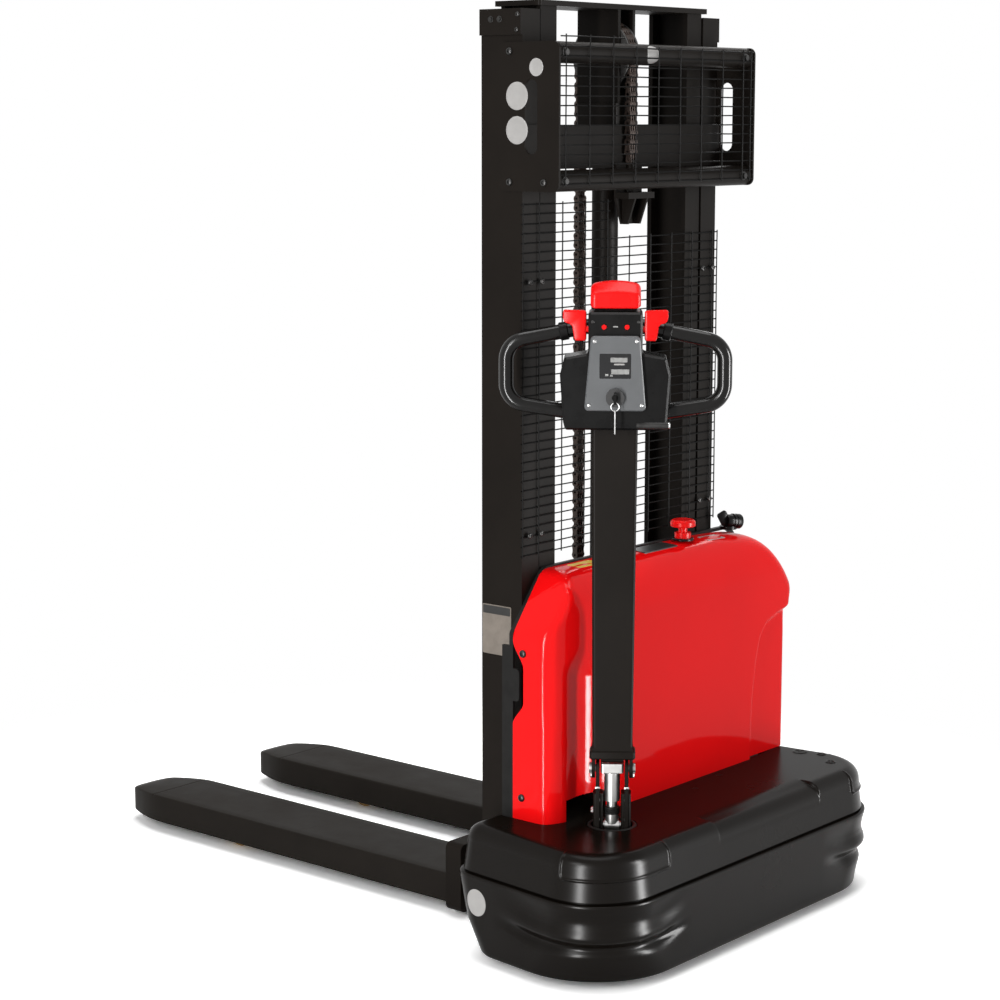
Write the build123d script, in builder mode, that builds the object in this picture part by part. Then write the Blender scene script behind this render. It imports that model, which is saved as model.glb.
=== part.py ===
"""Electric stacker: a walk-behind lift truck with a two-stage mast, in millimetres.

+X is the operator's right, +Y points along the forks, +Z is up and the floor is z = 0.
"""
import os
from math import ceil, cos, hypot, pi, sin

from build123d import *

os.makedirs("parts", exist_ok=True)

# Running and seating clearances
run_gap = 0.05
slide_gap = 0.5
free_gap = 2.0

# Overall layout: rear edge of the base and the fork tips
base_rear = -786.0
fork_tip = 790.0

# Base skirt and cover, plan outline and heights
base_half_rear = 500.0
base_half_front = 454.0
base_depth = 410.0
base_corner = 136.0
base_foot_corner = 205.0
base_front_corner = 55.0
skirt_bottom = 18.0
skirt_belt_low = 82.0
skirt_belt_high = 96.0
skirt_top = 162.0
skirt_wall = 10.0
skirt_toe = 40.0
skirt_lean = 22.0
skirt_lean_z = 80.0
cover_top = 260.0
cover_inset = 7.0
cover_wall = 5.0
cover_round = 26.0
relief_proud = 6.0
relief_bottom = 186.0
relief_top = 240.0
relief_angle = 118.0
recess_start = 217.0
recess_ramp = 60.0
recess_deep = 6.0
recess_reach = 215.0
recess_bottom = 60.0
recess_top = 106.0
scoop_left = -112.0
scoop_right = 242.0
scoop_deep = 38.0
scoop_drop = 12.0
dimple_r = 8.0
dimple_deep = 3.0
dimple_x = 418.0
dimple_y_from_rear = 186.0
dimple_pitch = 44.0

# Outer mast uprights
mast_half = 313.0
mast_depth = 100.0
mast_set_back = 349.0
outer_width = 51.0
outer_web = 8.0
outer_flange = 10.0
outer_foot = 20.0
outer_top = 1796.0
head_plate_tall = 48.0
head_plate_thick = 6.0

# Inner mast uprights and top plate
stage_gap = 4.0
inner_width = 48.0
inner_depth = 96.0
inner_web = 8.0
inner_flange = 10.0
inner_foot = 75.0
inner_rise = 7.0
top_plate_half = 270.0
top_plate_thick = 10.0
top_plate_lip = 6.0
crossbar_bottom = 100.0
crossbar_tall = 70.0

# Guide rollers
stub_r = 10.0
outer_roller_wide = 14.0
outer_roller_drop = 76.0
inner_roller_wide = 32.0
inner_roller_z = 340.0
carriage_roller_wide = 15.0
carriage_roller_low = 180.0
carriage_roller_high = 440.0

# Lift cylinder, chain wheel and chain
cylinder_y_from_rear = 395.0
barrel_r = 26.0
barrel_bore_r = 20.0
barrel_foot = 90.0
barrel_gap = 12.0
gland_tall = 20.0
rod_r = 17.0
rod_foot = 150.0
piston_tall = 30.0
chain_radius = 63.0
chain_pitch = 19.05
chain_plate = 15.0
chain_waist = 10.5
chain_wide = 24.0
chain_front_end = 470.0
wheel_flange = 5.0
wheel_flange_rise = 6.0
wheel_axle_r = 10.0
wheel_top_gap = 18.0
yoke_gap = 2.0
yoke_plate = 8.0
yoke_half_depth = 50.0
yoke_bridge = 12.0

# Upper crossbeam, cylinder clamp and chain anchor
beam_drop = 296.0
beam_tall = 83.0
beam_thick = 8.0
clamp_half = 40.0
clamp_tall = 15.0
clamp_rise = 30.0
anchor_half = 42.0
anchor_foot_half = 22.0
anchor_tall = 120.0
anchor_lap = 10.0
anchor_lug_rise = 50.0
anchor_bolt_long = 75.0
anchor_lug_thick = 12.0
anchor_depth = 36.0
anchor_bolt_r = 8.0
anchor_nut_r = 13.0
anchor_nut_tall = 14.0

# Guard cage at the mast head
guard_drop = 61.0
guard_tall = 275.0
guard_reach = 91.0
guard_lap = 54.0
guard_plate = 5.0
guard_tube_r = 20.0
guard_slot_wide = 30.0
guard_slot_tall = 138.0
guard_corner = 14.0

# Welded wire mesh
wire = 3.2
mesh_row = 18.4
mesh_column = 69.0
mesh_drop = 14.0
mesh_rise = 8.0
mesh_overhang = 6.0
mesh_seat = 0.2

# Chassis frame
deck_bottom = 214.0
deck_thick = 12.0
deck_side_gap = 104.0
deck_rear_gap = 42.0
bulkhead_half = 300.0
bulkhead_bottom = 40.0
bulkhead_top = 330.0
bulkhead_thick = 12.0
rail_thick = 10.0
rail_bottom = 70.0
shelf_half = 60.0
shelf_thick = 12.0
shelf_reach = 90.0
post_set_in = 36.0
post_pitch = 90.0
post_r = 10.0

# Support legs, load rollers and forks
leg_x = 201.0
leg_wide = 90.0
leg_bottom = 22.0
leg_top = 66.0
leg_cheek = 6.0
roller_y = 438.0
roller_r = 37.0
roller_side_gap = 1.0
roller_end_room = 6.0
load_axle_r = 10.0
fork_outer = 285.0
fork_wide = 168.0
fork_top = 85.0
fork_tall = 60.0
fork_plate = 6.0
fork_taper = 105.0
fork_tip_half = 42.0
fork_tip_round = 26.0
fork_nose = 46.0
fork_nose_drop = 14.0

# Carriage
carriage_side_gap = 6.0
carriage_plate = 16.0
carriage_bottom = 95.0
carriage_top = 500.0
carriage_back_gap = 2.0
carriage_face_gap = 5.5
carriage_face = 16.0
cross_front = 562.0
cross_thick = 40.0
cross_half = 295.0
cross_bottom = 12.0
cross_top = 154.0
leg_room = 6.0
chain_lug_half = 20.0
chain_lug_tall = 30.0

# Hood
hood_side_gap = 37.0
hood_right = 445.0
hood_front = 340.0
hood_rear = 231.0
hood_top = 740.0
hood_wall = 4.0
hood_shoulder_left = 625.0
hood_slope_left = 95.0
hood_shoulder_right = 612.0
hood_slope_right = 88.0
hood_flare = 18.0
hood_flare_tall = 52.0
hood_round = 26.0
hood_crown_round = 48.0
hood_shoulder_round = 30.0
hood_bevel_start = 290.0
hood_bevel_drop = 57.0
hood_corner = 16.0
bay_gap = 17.0
hood_lap = 22.0
hood_valley_r = 78.0
hood_valley_top = 585.0
hood_valley_fade = 50.0
hood_valley_taper = 18.0
hood_notch_r = 96.0
hood_notch_top = 306.0
hood_crease = 312.0
hood_crease_deep = 15.0
hood_crease_low = 496.0
hood_crease_run = 30.0
hood_crease_mid = 528.0
hood_crease_high = 590.0
seal_reach = 18.0
seal_wall = 7.0
grip_bottom = 492.0
grip_top = 556.0
grip_deep = 26.0
grip_slope = 52.0
grip_lip = 16.0
plug_corner = 9.0

# Drive, steering and caster
steer_side_gap = 241.0
steer_y_from_rear = 169.0
steer_rest = -52.7
steer_shaft_r = 35.0
turntable_r = 60.0
turntable_thick = 18.0
bracket_thick = 12.0
bracket_r = 62.0
drive_r = 95.0
drive_wide = 70.0
drive_hub_r = 72.0
drive_offset = 5.0
drive_axle_r = 20.0
motor_r = 55.0
motor_long = 80.0
drive_cheek = 14.0
caster_trail = 34.0
caster_r = 62.0
caster_wide = 44.0
caster_plate_r = 46.0
caster_cheek = 8.0
caster_side_gap = 3.0
caster_pin_r = 15.0
caster_axle_r = 8.0
caster_plate_thick = 10.0

# Battery and pump
battery_left = 70.0
battery_right = 366.0
battery_tall = 330.0
battery_handle = 14.0
pump_left = -140.0
pump_motor_r = 42.0
tank_long = 105.0
tank_tall = 190.0
module_gap = 8.0

# Tiller foot, arm and gas spring
pivot_z = 371.0
spring_pin_z = 387.0
lug_in = 24.0
lug_thick = 7.0
lug_deep = 34.0
lug_spread = 7.0
foot_block_top = 324.0
foot_block_half = 36.0
foot_block_slot = 17.0
foot_block_deep = 34.0
foot_block_round = 5.0
foot_hole_gap = 9.0
ear_in = 32.5
ear_thick = 6.5
arm_wide = 76.0
arm_top_wide = 86.0
arm_deep = 38.0
arm_wall = 3.0
arm_bottom = 403.0
arm_top = 1038.0
arm_web_low = 406.0
arm_web = 10.0
pivot_r = 7.0
pin_head_r = 10.0
pin_head = 5.0
saddle_pin_r = 6.0
saddle_gap = 0.5
spring_foot_z = 259.0
spring_eye_r = 11.5
spring_rod_r = 10.0
spring_rod_top = 340.0
spring_collar_r = 14.0
spring_collar_low = 283.0
spring_collar_tall = 12.0
spring_tube_r = 15.0
spring_tube_low = 308.0
spring_bore_top = 356.0
spring_cap_low = 363.0
spring_cap_half = 22.0
spring_cap_deep = 20.0

# Tiller head
head_half = 102.0
head_waist_half = 96.0
head_top = 1160.0
head_bottom = 1026.0
head_skirt = 1042.0
head_chin_half = 92.0
head_front = 45.0
head_back = 34.0
head_round = 8.0
head_edge = 4.0
neck_half = 50.0
neck_top = 1244.0
panel_top = 1201.0
panel_bottom = 1063.0
panel_top_half = 45.0
panel_bottom_half = 57.0
panel_thick = 12.0
panel_round = 8.0
display_wide = 58.0
display_tall = 46.0
display_z = 1146.0
display_deep = 2.0
switch_r = 17.0
switch_proud = 8.0
switch_z = 1088.0
key_r = 6.0
key_bow_r = 11.0
key_bow_thick = 5.0
key_bow_long = 16.0
ring_r = 7.5
ring_wire = 0.9
ring_hole_r = 2.2
spare_key_long = 46.0
spare_key_wide = 7.0
spare_key_thick = 2.0
loop_tube_r = 14.0
loop_half = 203.0
loop_start = 40.0
loop_top_in = 1216.0
loop_top_out = 1184.0
loop_bottom_out = 1073.0
loop_bottom_in = 1052.0
loop_end = 72.0
loop_round = 40.0
loop_plane = 4.0
belly_half = 46.0
belly_bottom = 1250.0
belly_top = 1300.0
belly_crown = 8.0
belly_deep = 74.0
belly_inset = 4.0
belly_travel = 5.0
belly_stem_half = 14.0
belly_stem_long = 24.0
throttle_z = 1212.0
throttle_shaft_r = 6.0
throttle_back = 15.0
wing_in = 53.0
wing_step = 79.0
wing_out = 97.0
wing_bottom = 1190.0
wing_lobe = 1222.0
wing_top = 1248.0
wing_thick = 13.0
wing_round = 5.0
button_x = 21.0
button_z = 1217.0
button_r = 4.5
button_proud = 3.0
button_seat = 3.0
button_pocket = 6.0
button_gap = 0.4

# Emergency stop and charging socket on the hood
stop_x = 160.0
stop_y_from_rear = 311.0
stop_collar_r = 17.0
stop_collar_tall = 16.0
stop_stem_r = 9.0
stop_head_r = 26.0
stop_head_tall = 15.0
stop_rise = 12.0
stop_travel = 8.0
charge_x = 330.0
charge_y_from_rear = 316.0
charge_ring_r = 18.0
charge_ring_tall = 7.0
charge_cap_r = 14.0
charge_cap_tall = 32.0
charge_wing_reach = 26.0
charge_wing_tall = 22.0
charge_wing_thick = 7.0
charge_spigot_r = 9.0

# Derived places
base_front = base_rear + base_depth
base_taper = base_half_rear - base_half_front
corner_shift = (hypot(base_taper, base_depth) + base_taper) / base_depth
mast_rear = base_rear + mast_set_back
mast_front = mast_rear + mast_depth
mast_mid = (mast_rear + mast_front) / 2
outer_inside = mast_half - outer_width
outer_channel = mast_depth - 2 * outer_flange
inner_outside = outer_inside - stage_gap
inner_inside = inner_outside - inner_width
inner_channel = inner_depth - 2 * inner_flange
inner_web_mid = (inner_outside + inner_inside) / 2
inner_top = outer_top + inner_rise
outer_roller_z = outer_top - outer_roller_drop
beam_bottom = outer_top - beam_drop
guard_top = outer_top - guard_drop
guard_bottom = guard_top - guard_tall
mesh_top = guard_bottom - mesh_drop
mesh_bottom = hood_top + mesh_rise
anchor_top = beam_bottom + anchor_lap
anchor_bottom = anchor_top - anchor_tall
anchor_lug_z = anchor_bottom + anchor_lug_rise
chain_rear_end = anchor_lug_z + anchor_bolt_long
deck_half = base_half_rear - deck_side_gap
hood_left = -mast_half - hood_side_gap
steer_x = steer_side_gap - base_half_rear
foot_hole_r = hypot(foot_block_half, foot_block_deep / 2) + foot_hole_gap
caster_x = -steer_x
post_x = deck_half - post_set_in
cylinder_y = base_rear + cylinder_y_from_rear
wheel_z = inner_top - wheel_top_gap - chain_radius - chain_plate / 2
chain_front_y = cylinder_y + chain_radius
chain_rear_y = cylinder_y - chain_radius
deck_top = deck_bottom + deck_thick
fork_mid = fork_outer - fork_wide / 2
steer_y = base_rear + steer_y_from_rear
hood_front_y = base_rear + hood_front
hood_rear_y = base_rear + hood_rear
hood_foot = cover_top - hood_lap
mast_room = mast_half + head_plate_thick + free_gap
carriage_outer = inner_inside - carriage_side_gap
cross_y = base_rear + cross_front
carriage_face_rear = chain_front_y + chain_plate / 2 + carriage_face_gap
stop_y = base_rear + stop_y_from_rear
charge_y = base_rear + charge_y_from_rear
steer_frame = Location((steer_x, steer_y, 0), (0, 0, steer_rest))
sides = ((-1, "left"), (1, "right"))


def finish(builder, name):
    builder.part.label = name
    export_step(builder.part, f"parts/{name}.step")


def steered(plane):
    """A plane given in the tiller's own frame: x to its right, y away from the operator."""
    return Plane(steer_frame * plane.location)


def base_outline(inset, corner):
    """Plan of the base: tapered sides, large rear corners and smaller front ones."""
    rear = base_rear + inset
    front = base_front - inset
    points = [
        (-base_half_front + inset, front),
        (-base_half_rear + inset, rear),
        (base_half_rear - inset, rear),
        (base_half_front - inset, front),
    ]
    with BuildSketch(mode=Mode.PRIVATE) as outline:
        Polygon(*points, align=None)
        fillet(outline.vertices().group_by(Axis.Y)[0], corner - inset)
        fillet(outline.vertices().group_by(Axis.Y)[-1], base_front_corner - inset)
    return outline.sketch


def mast_recess(bottom, top):
    """The opening at the front of the base that the mast stands in."""
    depth = base_front - mast_rear + bulkhead_thick + 2 * free_gap
    centre_y = base_front - depth / 2 + free_gap
    return Pos(0, centre_y, (bottom + top) / 2) * Box(2 * mast_room, depth, top - bottom)


# Lower skirt: the foot has rounder corners than the belt above it
foot_plan = base_outline(0, base_foot_corner)
belt_plan = base_outline(0, base_corner)
skirt_core_plan = base_outline(skirt_wall, base_foot_corner)
skirt_recess = mast_recess(0, skirt_top)
cover_recess = mast_recess(skirt_top, cover_top)
recess_core = base_outline(recess_deep, base_foot_corner)
recess_side = base_half_rear - (base_half_rear - base_half_front) * recess_reach / base_depth
with BuildPart() as corner_recesses:
    for side, name in sides:
        with BuildSketch(Plane.XY.offset(recess_bottom)):
            Polygon(
                (side * recess_start, base_rear - recess_deep),
                (side * recess_start, base_rear),
                (side * (recess_start + recess_ramp), base_rear + recess_deep),
                (side * (recess_start + recess_ramp), base_rear + recess_reach),
                (side * (recess_side - recess_deep), base_rear + recess_reach),
                (side * recess_side, base_rear + recess_reach + recess_ramp),
                (side * (base_half_rear + recess_deep), base_rear + recess_reach + recess_ramp),
                (side * (base_half_rear + recess_deep), base_rear - recess_deep),
                align=None,
            )
    extrude(amount=recess_top - recess_bottom)
    with BuildSketch(Plane.XY.offset(recess_bottom)):
        add(recess_core)
    extrude(amount=recess_top - recess_bottom, mode=Mode.SUBTRACT)

with BuildPart() as base_skirt:
    with BuildSketch(Plane.XY.offset(skirt_bottom)):
        add(foot_plan)
    extrude(amount=skirt_belt_low - skirt_bottom)
    with BuildSketch(Plane.XY.offset(skirt_belt_low)):
        add(foot_plan)
    with BuildSketch(Plane.XY.offset(skirt_belt_high)):
        add(belt_plan)
    loft()
    with BuildSketch(Plane.XY.offset(skirt_belt_high)):
        add(belt_plan)
    extrude(amount=skirt_top - skirt_belt_high)
    with BuildSketch(Plane.XY.offset(skirt_bottom)):
        add(skirt_core_plan)
    extrude(amount=skirt_top - skirt_bottom, mode=Mode.SUBTRACT)
    add(skirt_recess, mode=Mode.SUBTRACT)
    add(corner_recesses.part, mode=Mode.SUBTRACT)
    with BuildSketch(Plane.YZ):
        with BuildLine():
            Polyline(
                (base_front, skirt_bottom),
                (base_front - skirt_lean - skirt_toe, skirt_bottom),
                (base_front - skirt_lean, skirt_lean_z),
                (base_front, skirt_top),
                close=True,
            )
        make_face()
    extrude(amount=base_half_rear, both=True, mode=Mode.SUBTRACT)
finish(base_skirt, "base_skirt")

def rear_scoop(wall):
    """Wedge that bevels the middle of the cover's rear edge."""
    with BuildPart(mode=Mode.PRIVATE) as scoop:
        with BuildSketch(Plane.YZ.offset(scoop_left - wall)):
            with BuildLine():
                Polyline(
                    (base_rear - wall, cover_top - scoop_drop - wall),
                    (base_rear + scoop_deep, cover_top - wall),
                    (base_rear + scoop_deep, cover_top + wall + free_gap),
                    (base_rear - wall, cover_top + wall + free_gap),
                    close=True,
                )
            make_face()
        extrude(amount=scoop_right - scoop_left + 2 * wall)
    return scoop.part


# Upper cover: rounded top edge with a rear scoop, corner reliefs, tiller hole and an opening under the hood
cover_scoop = rear_scoop(0)
core_scoop = rear_scoop(cover_wall)
cover_plan = base_outline(cover_inset, base_corner)
cover_core_plan = base_outline(cover_inset + cover_wall, base_corner)
with BuildPart() as cover_core:
    with BuildSketch(Plane.XY.offset(skirt_top)):
        add(cover_core_plan)
    extrude(amount=cover_top - cover_wall - skirt_top)
    fillet(cover_core.faces().sort_by(Axis.Z)[-1].edges(), cover_round - cover_wall)
    add(core_scoop, mode=Mode.SUBTRACT)

with BuildPart() as cover_form:
    with BuildSketch(Plane.XY.offset(skirt_top)):
        add(cover_plan)
    extrude(amount=cover_top - skirt_top)
    fillet(cover_form.faces().sort_by(Axis.Z)[-1].edges(), cover_round)
    add(cover_scoop, mode=Mode.SUBTRACT)

with BuildPart() as base_cover:
    add(cover_form.part)
    for side, name in sides:
        relief_x = side * (base_half_rear - base_corner * corner_shift)
        relief_start = -90 + side * 45 - relief_angle / 2
        with BuildSketch(Plane.XY.offset(relief_bottom)):
            with BuildLine():
                middle = (relief_x, base_rear + base_corner)
                rim = CenterArc(middle, base_corner - cover_inset + relief_proud, relief_start, relief_angle)
                Line(rim @ 1, middle)
                Line(middle, rim @ 0)
            make_face()
        extrude(amount=relief_top - relief_bottom)
    add(cover_core.part, mode=Mode.SUBTRACT)
    add(cover_recess, mode=Mode.SUBTRACT)
    with BuildSketch(Plane.XY.offset(skirt_top)):
        with Locations((steer_x, steer_y)):
            Circle(foot_hole_r)
        with BuildLine():
            tray_left = pump_left - module_gap
            tray_right = battery_right + module_gap
            Polyline(
                (tray_left, hood_rear_y + 2 * hood_wall),
                (tray_right, hood_rear_y + 2 * hood_wall),
                (tray_right, mast_rear),
                (tray_left, mast_rear),
                close=True,
            )
        make_face()
    extrude(amount=cover_top, mode=Mode.SUBTRACT)
    with BuildSketch(Plane.XY.offset(cover_top)):
        for step, shift in ((0, 0), (1, dimple_r), (2, -dimple_r)):
            with Locations((dimple_x + shift, base_rear + dimple_y_from_rear - step * dimple_pitch)):
                Circle(dimple_r)
    extrude(amount=-dimple_deep, mode=Mode.SUBTRACT)
finish(base_cover, "base_cover")

# Welded chassis: deck with the steering and caster bores, bulkhead, side rails and cylinder shelf
deck_rear = base_rear + deck_rear_gap
with BuildPart() as chassis_frame:
    with BuildSketch(Plane.XY.offset(deck_bottom)):
        with BuildLine():
            Polyline(
                (-deck_half, deck_rear + deck_rear_gap),
                (-deck_half + deck_rear_gap, deck_rear),
                (deck_half - deck_rear_gap, deck_rear),
                (deck_half, deck_rear + deck_rear_gap),
                (deck_half, mast_rear),
                (-deck_half, mast_rear),
                close=True,
            )
        make_face()
        with Locations((steer_x, steer_y)):
            Circle(steer_shaft_r, mode=Mode.SUBTRACT)
        with Locations((caster_x, steer_y)):
            Circle(caster_pin_r, mode=Mode.SUBTRACT)
    extrude(amount=deck_thick)
    with BuildSketch(Plane.XZ.offset(-mast_rear)):
        with Locations((0, (bulkhead_bottom + bulkhead_top) / 2)):
            RectangleRounded(2 * bulkhead_half, bulkhead_top - bulkhead_bottom, guard_corner)
    extrude(amount=bulkhead_thick)
    for side, name in sides:
        with BuildSketch(Plane.YZ.offset(side * (deck_half - rail_thick / 2))):
            with BuildLine():
                Polyline(
                    (deck_rear + deck_rear_gap, deck_bottom),
                    (mast_rear, deck_bottom),
                    (mast_rear, rail_bottom),
                    (deck_rear + 3 * deck_rear_gap, rail_bottom),
                    close=True,
                )
            make_face()
        extrude(amount=rail_thick / 2, both=True)
    with BuildSketch(Plane.XY.offset(deck_top)):
        with Locations((0, base_rear + base_corner)):
            with GridLocations(2 * post_x, post_pitch, 2, 2):
                Circle(post_r)
    extrude(amount=cover_top - cover_wall - deck_top)
    with BuildSketch(Plane.XY.offset(barrel_foot - shelf_thick)):
        with Locations((0, mast_rear + shelf_reach / 2 - bulkhead_thick / 2)):
            Rectangle(2 * shelf_half, shelf_reach + bulkhead_thick)
    extrude(amount=shelf_thick)
finish(chassis_frame, "chassis_frame")

# Support legs with a forked end for the load roller
leg_end = roller_y + roller_r + roller_end_room
slot_start = roller_y - roller_r - roller_end_room
with BuildPart() as support_legs:
    for side, name in sides:
        with BuildSketch(Plane.YZ.offset(side * leg_x)):
            with BuildLine():
                Polyline(
                    (mast_rear, leg_bottom),
                    (leg_end - roller_end_room, leg_bottom),
                    (leg_end, leg_bottom + roller_end_room),
                    (leg_end, leg_top - roller_end_room),
                    (leg_end - roller_end_room, leg_top),
                    (mast_rear, leg_top),
                    close=True,
                )
            make_face()
        extrude(amount=leg_wide / 2, both=True)
        with BuildSketch(Plane.XY.offset(leg_bottom)):
            with Locations((side * leg_x, (slot_start + leg_end + roller_end_room) / 2)):
                Rectangle(leg_wide - 2 * leg_cheek, leg_end - slot_start + roller_end_room)
        extrude(amount=leg_top - leg_bottom, mode=Mode.SUBTRACT)
        with BuildSketch(Plane.YZ.offset(side * leg_x)):
            with Locations((roller_y, roller_r)):
                Circle(load_axle_r)
        extrude(amount=leg_wide / 2, both=True, mode=Mode.SUBTRACT)
finish(support_legs, "support_legs")

for side, name in sides:
    with BuildPart() as load_roller:
        with BuildSketch(Plane.YZ.offset(side * leg_x)):
            with Locations((roller_y, roller_r)):
                Circle(roller_r)
                Circle(load_axle_r + run_gap, mode=Mode.SUBTRACT)
        extrude(amount=leg_wide / 2 - leg_cheek - roller_side_gap, both=True)
        rims = load_roller.edges().filter_by(GeomType.CIRCLE).filter_by(lambda e: e.radius == roller_r)
        chamfer(rims, roller_side_gap * 3)
    finish(load_roller, f"load_roller_{name}")

with BuildPart() as load_axles:
    for side, name in sides:
        with BuildSketch(Plane.YZ.offset(side * leg_x)):
            with Locations((roller_y, roller_r)):
                Circle(load_axle_r)
        extrude(amount=leg_wide / 2, both=True)
finish(load_axles, "load_axles")

# Outer uprights: channels open to the middle, with a head plate and the upper roller stubs
for side, name in sides:
    with BuildPart() as outer_upright:
        with BuildSketch(Plane.XY.offset(outer_foot)):
            with Locations((side * (mast_half - outer_width / 2), mast_mid)):
                Rectangle(outer_width, mast_depth)
            with Locations((side * (mast_half - outer_web - outer_width / 2), mast_mid)):
                Rectangle(outer_width, outer_channel, mode=Mode.SUBTRACT)
        extrude(amount=outer_top - outer_foot)
        with BuildSketch(Plane.YZ.offset(side * mast_half)):
            with Locations((mast_mid, outer_top - head_plate_tall / 2)):
                Rectangle(mast_depth, head_plate_tall)
        extrude(amount=side * head_plate_thick)
        with BuildSketch(Plane.YZ.offset(side * (mast_half - outer_web))):
            with Locations((mast_mid, outer_roller_z)):
                Circle(stub_r)
        stub_long = mast_half - outer_web - inner_outside + outer_roller_wide
        extrude(amount=-side * stub_long)
    finish(outer_upright, f"outer_upright_{name}")

# Inner uprights: H sections with roller stubs towards the outer channels
for side, name in sides:
    with BuildPart() as inner_upright:
        with BuildSketch(Plane.XY.offset(inner_foot)):
            with Locations((side * inner_web_mid, mast_mid)):
                Rectangle(inner_width, inner_depth)
                Rectangle(inner_width, inner_channel, mode=Mode.SUBTRACT)
                Rectangle(inner_web, inner_channel)
        extrude(amount=inner_top - inner_foot)
        with BuildSketch(Plane.YZ.offset(side * (inner_web_mid + inner_web / 2))):
            with Locations((mast_mid, inner_roller_z)):
                Circle(stub_r)
        inner_stub = mast_half - outer_web - inner_web_mid - inner_web / 2 - stage_gap
        extrude(amount=side * inner_stub)
    finish(inner_upright, f"inner_upright_{name}")


def roller_pair(name, outer_face, width, radius, height):
    """Two coaxial guide rollers, one for each side of the mast."""
    with BuildPart() as rollers:
        for side, _ in sides:
            with BuildSketch(Plane.YZ.offset(side * outer_face)):
                with Locations((mast_mid, height)):
                    Circle(radius)
                    Circle(stub_r + run_gap, mode=Mode.SUBTRACT)
            extrude(amount=-side * width)
    finish(rollers, name)


inner_roller_face = mast_half - outer_web - stage_gap
outer_roller_face = inner_web_mid + inner_web / 2 + free_gap + outer_roller_wide
carriage_roller_face = inner_web_mid - inner_web / 2 - free_gap
wide_roller_r = outer_channel / 2 - slide_gap
slim_roller_r = inner_channel / 2 - slide_gap
roller_pair("inner_mast_rollers", inner_roller_face, inner_roller_wide, wide_roller_r, inner_roller_z)
roller_pair("outer_mast_rollers", outer_roller_face, outer_roller_wide, slim_roller_r, outer_roller_z)
for level, height in (("upper", carriage_roller_high), ("lower", carriage_roller_low)):
    name = f"carriage_rollers_{level}"
    roller_pair(name, carriage_roller_face, carriage_roller_wide, slim_roller_r, height)

# Top plate of the inner mast with the yoke and axle of the chain wheel
wheel_half = chain_wide / 2 + slide_gap + wheel_flange
yoke_in = wheel_half + yoke_gap
bridge_top = wheel_z - chain_radius - chain_plate / 2 - wheel_flange_rise - free_gap
barrel_top = bridge_top - yoke_bridge - barrel_gap
with BuildPart() as inner_top_plate:
    with BuildSketch(Plane.XY.offset(inner_top)):
        with Locations((0, mast_mid)):
            RectangleRounded(2 * top_plate_half, mast_depth + 2 * top_plate_lip, top_plate_lip)
    extrude(amount=top_plate_thick)
    for side, name in sides:
        with BuildSketch(Plane.YZ.offset(side * yoke_in)):
            with Locations((cylinder_y, (inner_top + bridge_top - yoke_bridge) / 2)):
                Rectangle(2 * yoke_half_depth, inner_top - bridge_top + yoke_bridge)
        extrude(amount=side * yoke_plate)
    with BuildSketch(Plane.XY.offset(bridge_top - yoke_bridge)):
        with Locations((0, cylinder_y)):
            Rectangle(2 * yoke_in, 2 * yoke_half_depth)
    extrude(amount=yoke_bridge)
    with BuildSketch(Plane.YZ):
        with Locations((cylinder_y, wheel_z)):
            Circle(wheel_axle_r)
    extrude(amount=yoke_in, both=True)
finish(inner_top_plate, "inner_top_plate")

with BuildPart() as inner_crossbar:
    with BuildSketch(Plane.XZ.offset(-(mast_mid - inner_depth / 2 + inner_flange))):
        with Locations((0, crossbar_bottom + crossbar_tall / 2)):
            Rectangle(2 * inner_inside, crossbar_tall)
    extrude(amount=inner_flange)
finish(inner_crossbar, "inner_crossbar")

# Chain wheel: a grooved wheel on a plain bore
groove_r = chain_radius - chain_plate / 2 - slide_gap
with BuildPart() as chain_wheel:
    with BuildSketch(Plane.YZ):
        with Locations((cylinder_y, wheel_z)):
            Circle(groove_r)
            Circle(wheel_axle_r + run_gap, mode=Mode.SUBTRACT)
    extrude(amount=wheel_half, both=True)
    for side, name in sides:
        with BuildSketch(Plane.YZ.offset(side * (wheel_half - wheel_flange))):
            with Locations((cylinder_y, wheel_z)):
                Circle(chain_radius + wheel_flange_rise)
                Circle(wheel_axle_r + run_gap, mode=Mode.SUBTRACT)
        extrude(amount=side * wheel_flange)
finish(chain_wheel, "chain_wheel")


def chain_edge(outward):
    """One edge of the lift chain, waisted between its pins, from carriage over wheel to anchor."""
    up = ceil((wheel_z - chain_front_end) / chain_pitch)
    over = ceil(pi * chain_radius / chain_pitch)
    down = ceil((wheel_z - chain_rear_end) / chain_pitch)
    points = []
    for step in range(2 * up + 1):
        reach = outward * (chain_plate if step % 2 == 0 else chain_waist) / 2
        rise = chain_front_end + (wheel_z - chain_front_end) * step / (2 * up)
        points.append((chain_front_y + reach, rise))
    for step in range(1, 2 * over):
        reach = chain_radius + outward * (chain_plate if step % 2 == 0 else chain_waist) / 2
        turn = pi * step / (2 * over)
        points.append((cylinder_y + reach * cos(turn), wheel_z + reach * sin(turn)))
    for step in range(2 * down + 1):
        reach = outward * (chain_plate if step % 2 == 0 else chain_waist) / 2
        drop = wheel_z - (wheel_z - chain_rear_end) * step / (2 * down)
        points.append((chain_rear_y - reach, drop))
    return points


with BuildPart() as lift_chain:
    with BuildSketch(Plane.YZ):
        with BuildLine():
            Polyline(*chain_edge(1), *reversed(chain_edge(-1)), close=True)
        make_face()
    extrude(amount=chain_wide / 2, both=True)
finish(lift_chain, "lift_chain")

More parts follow.
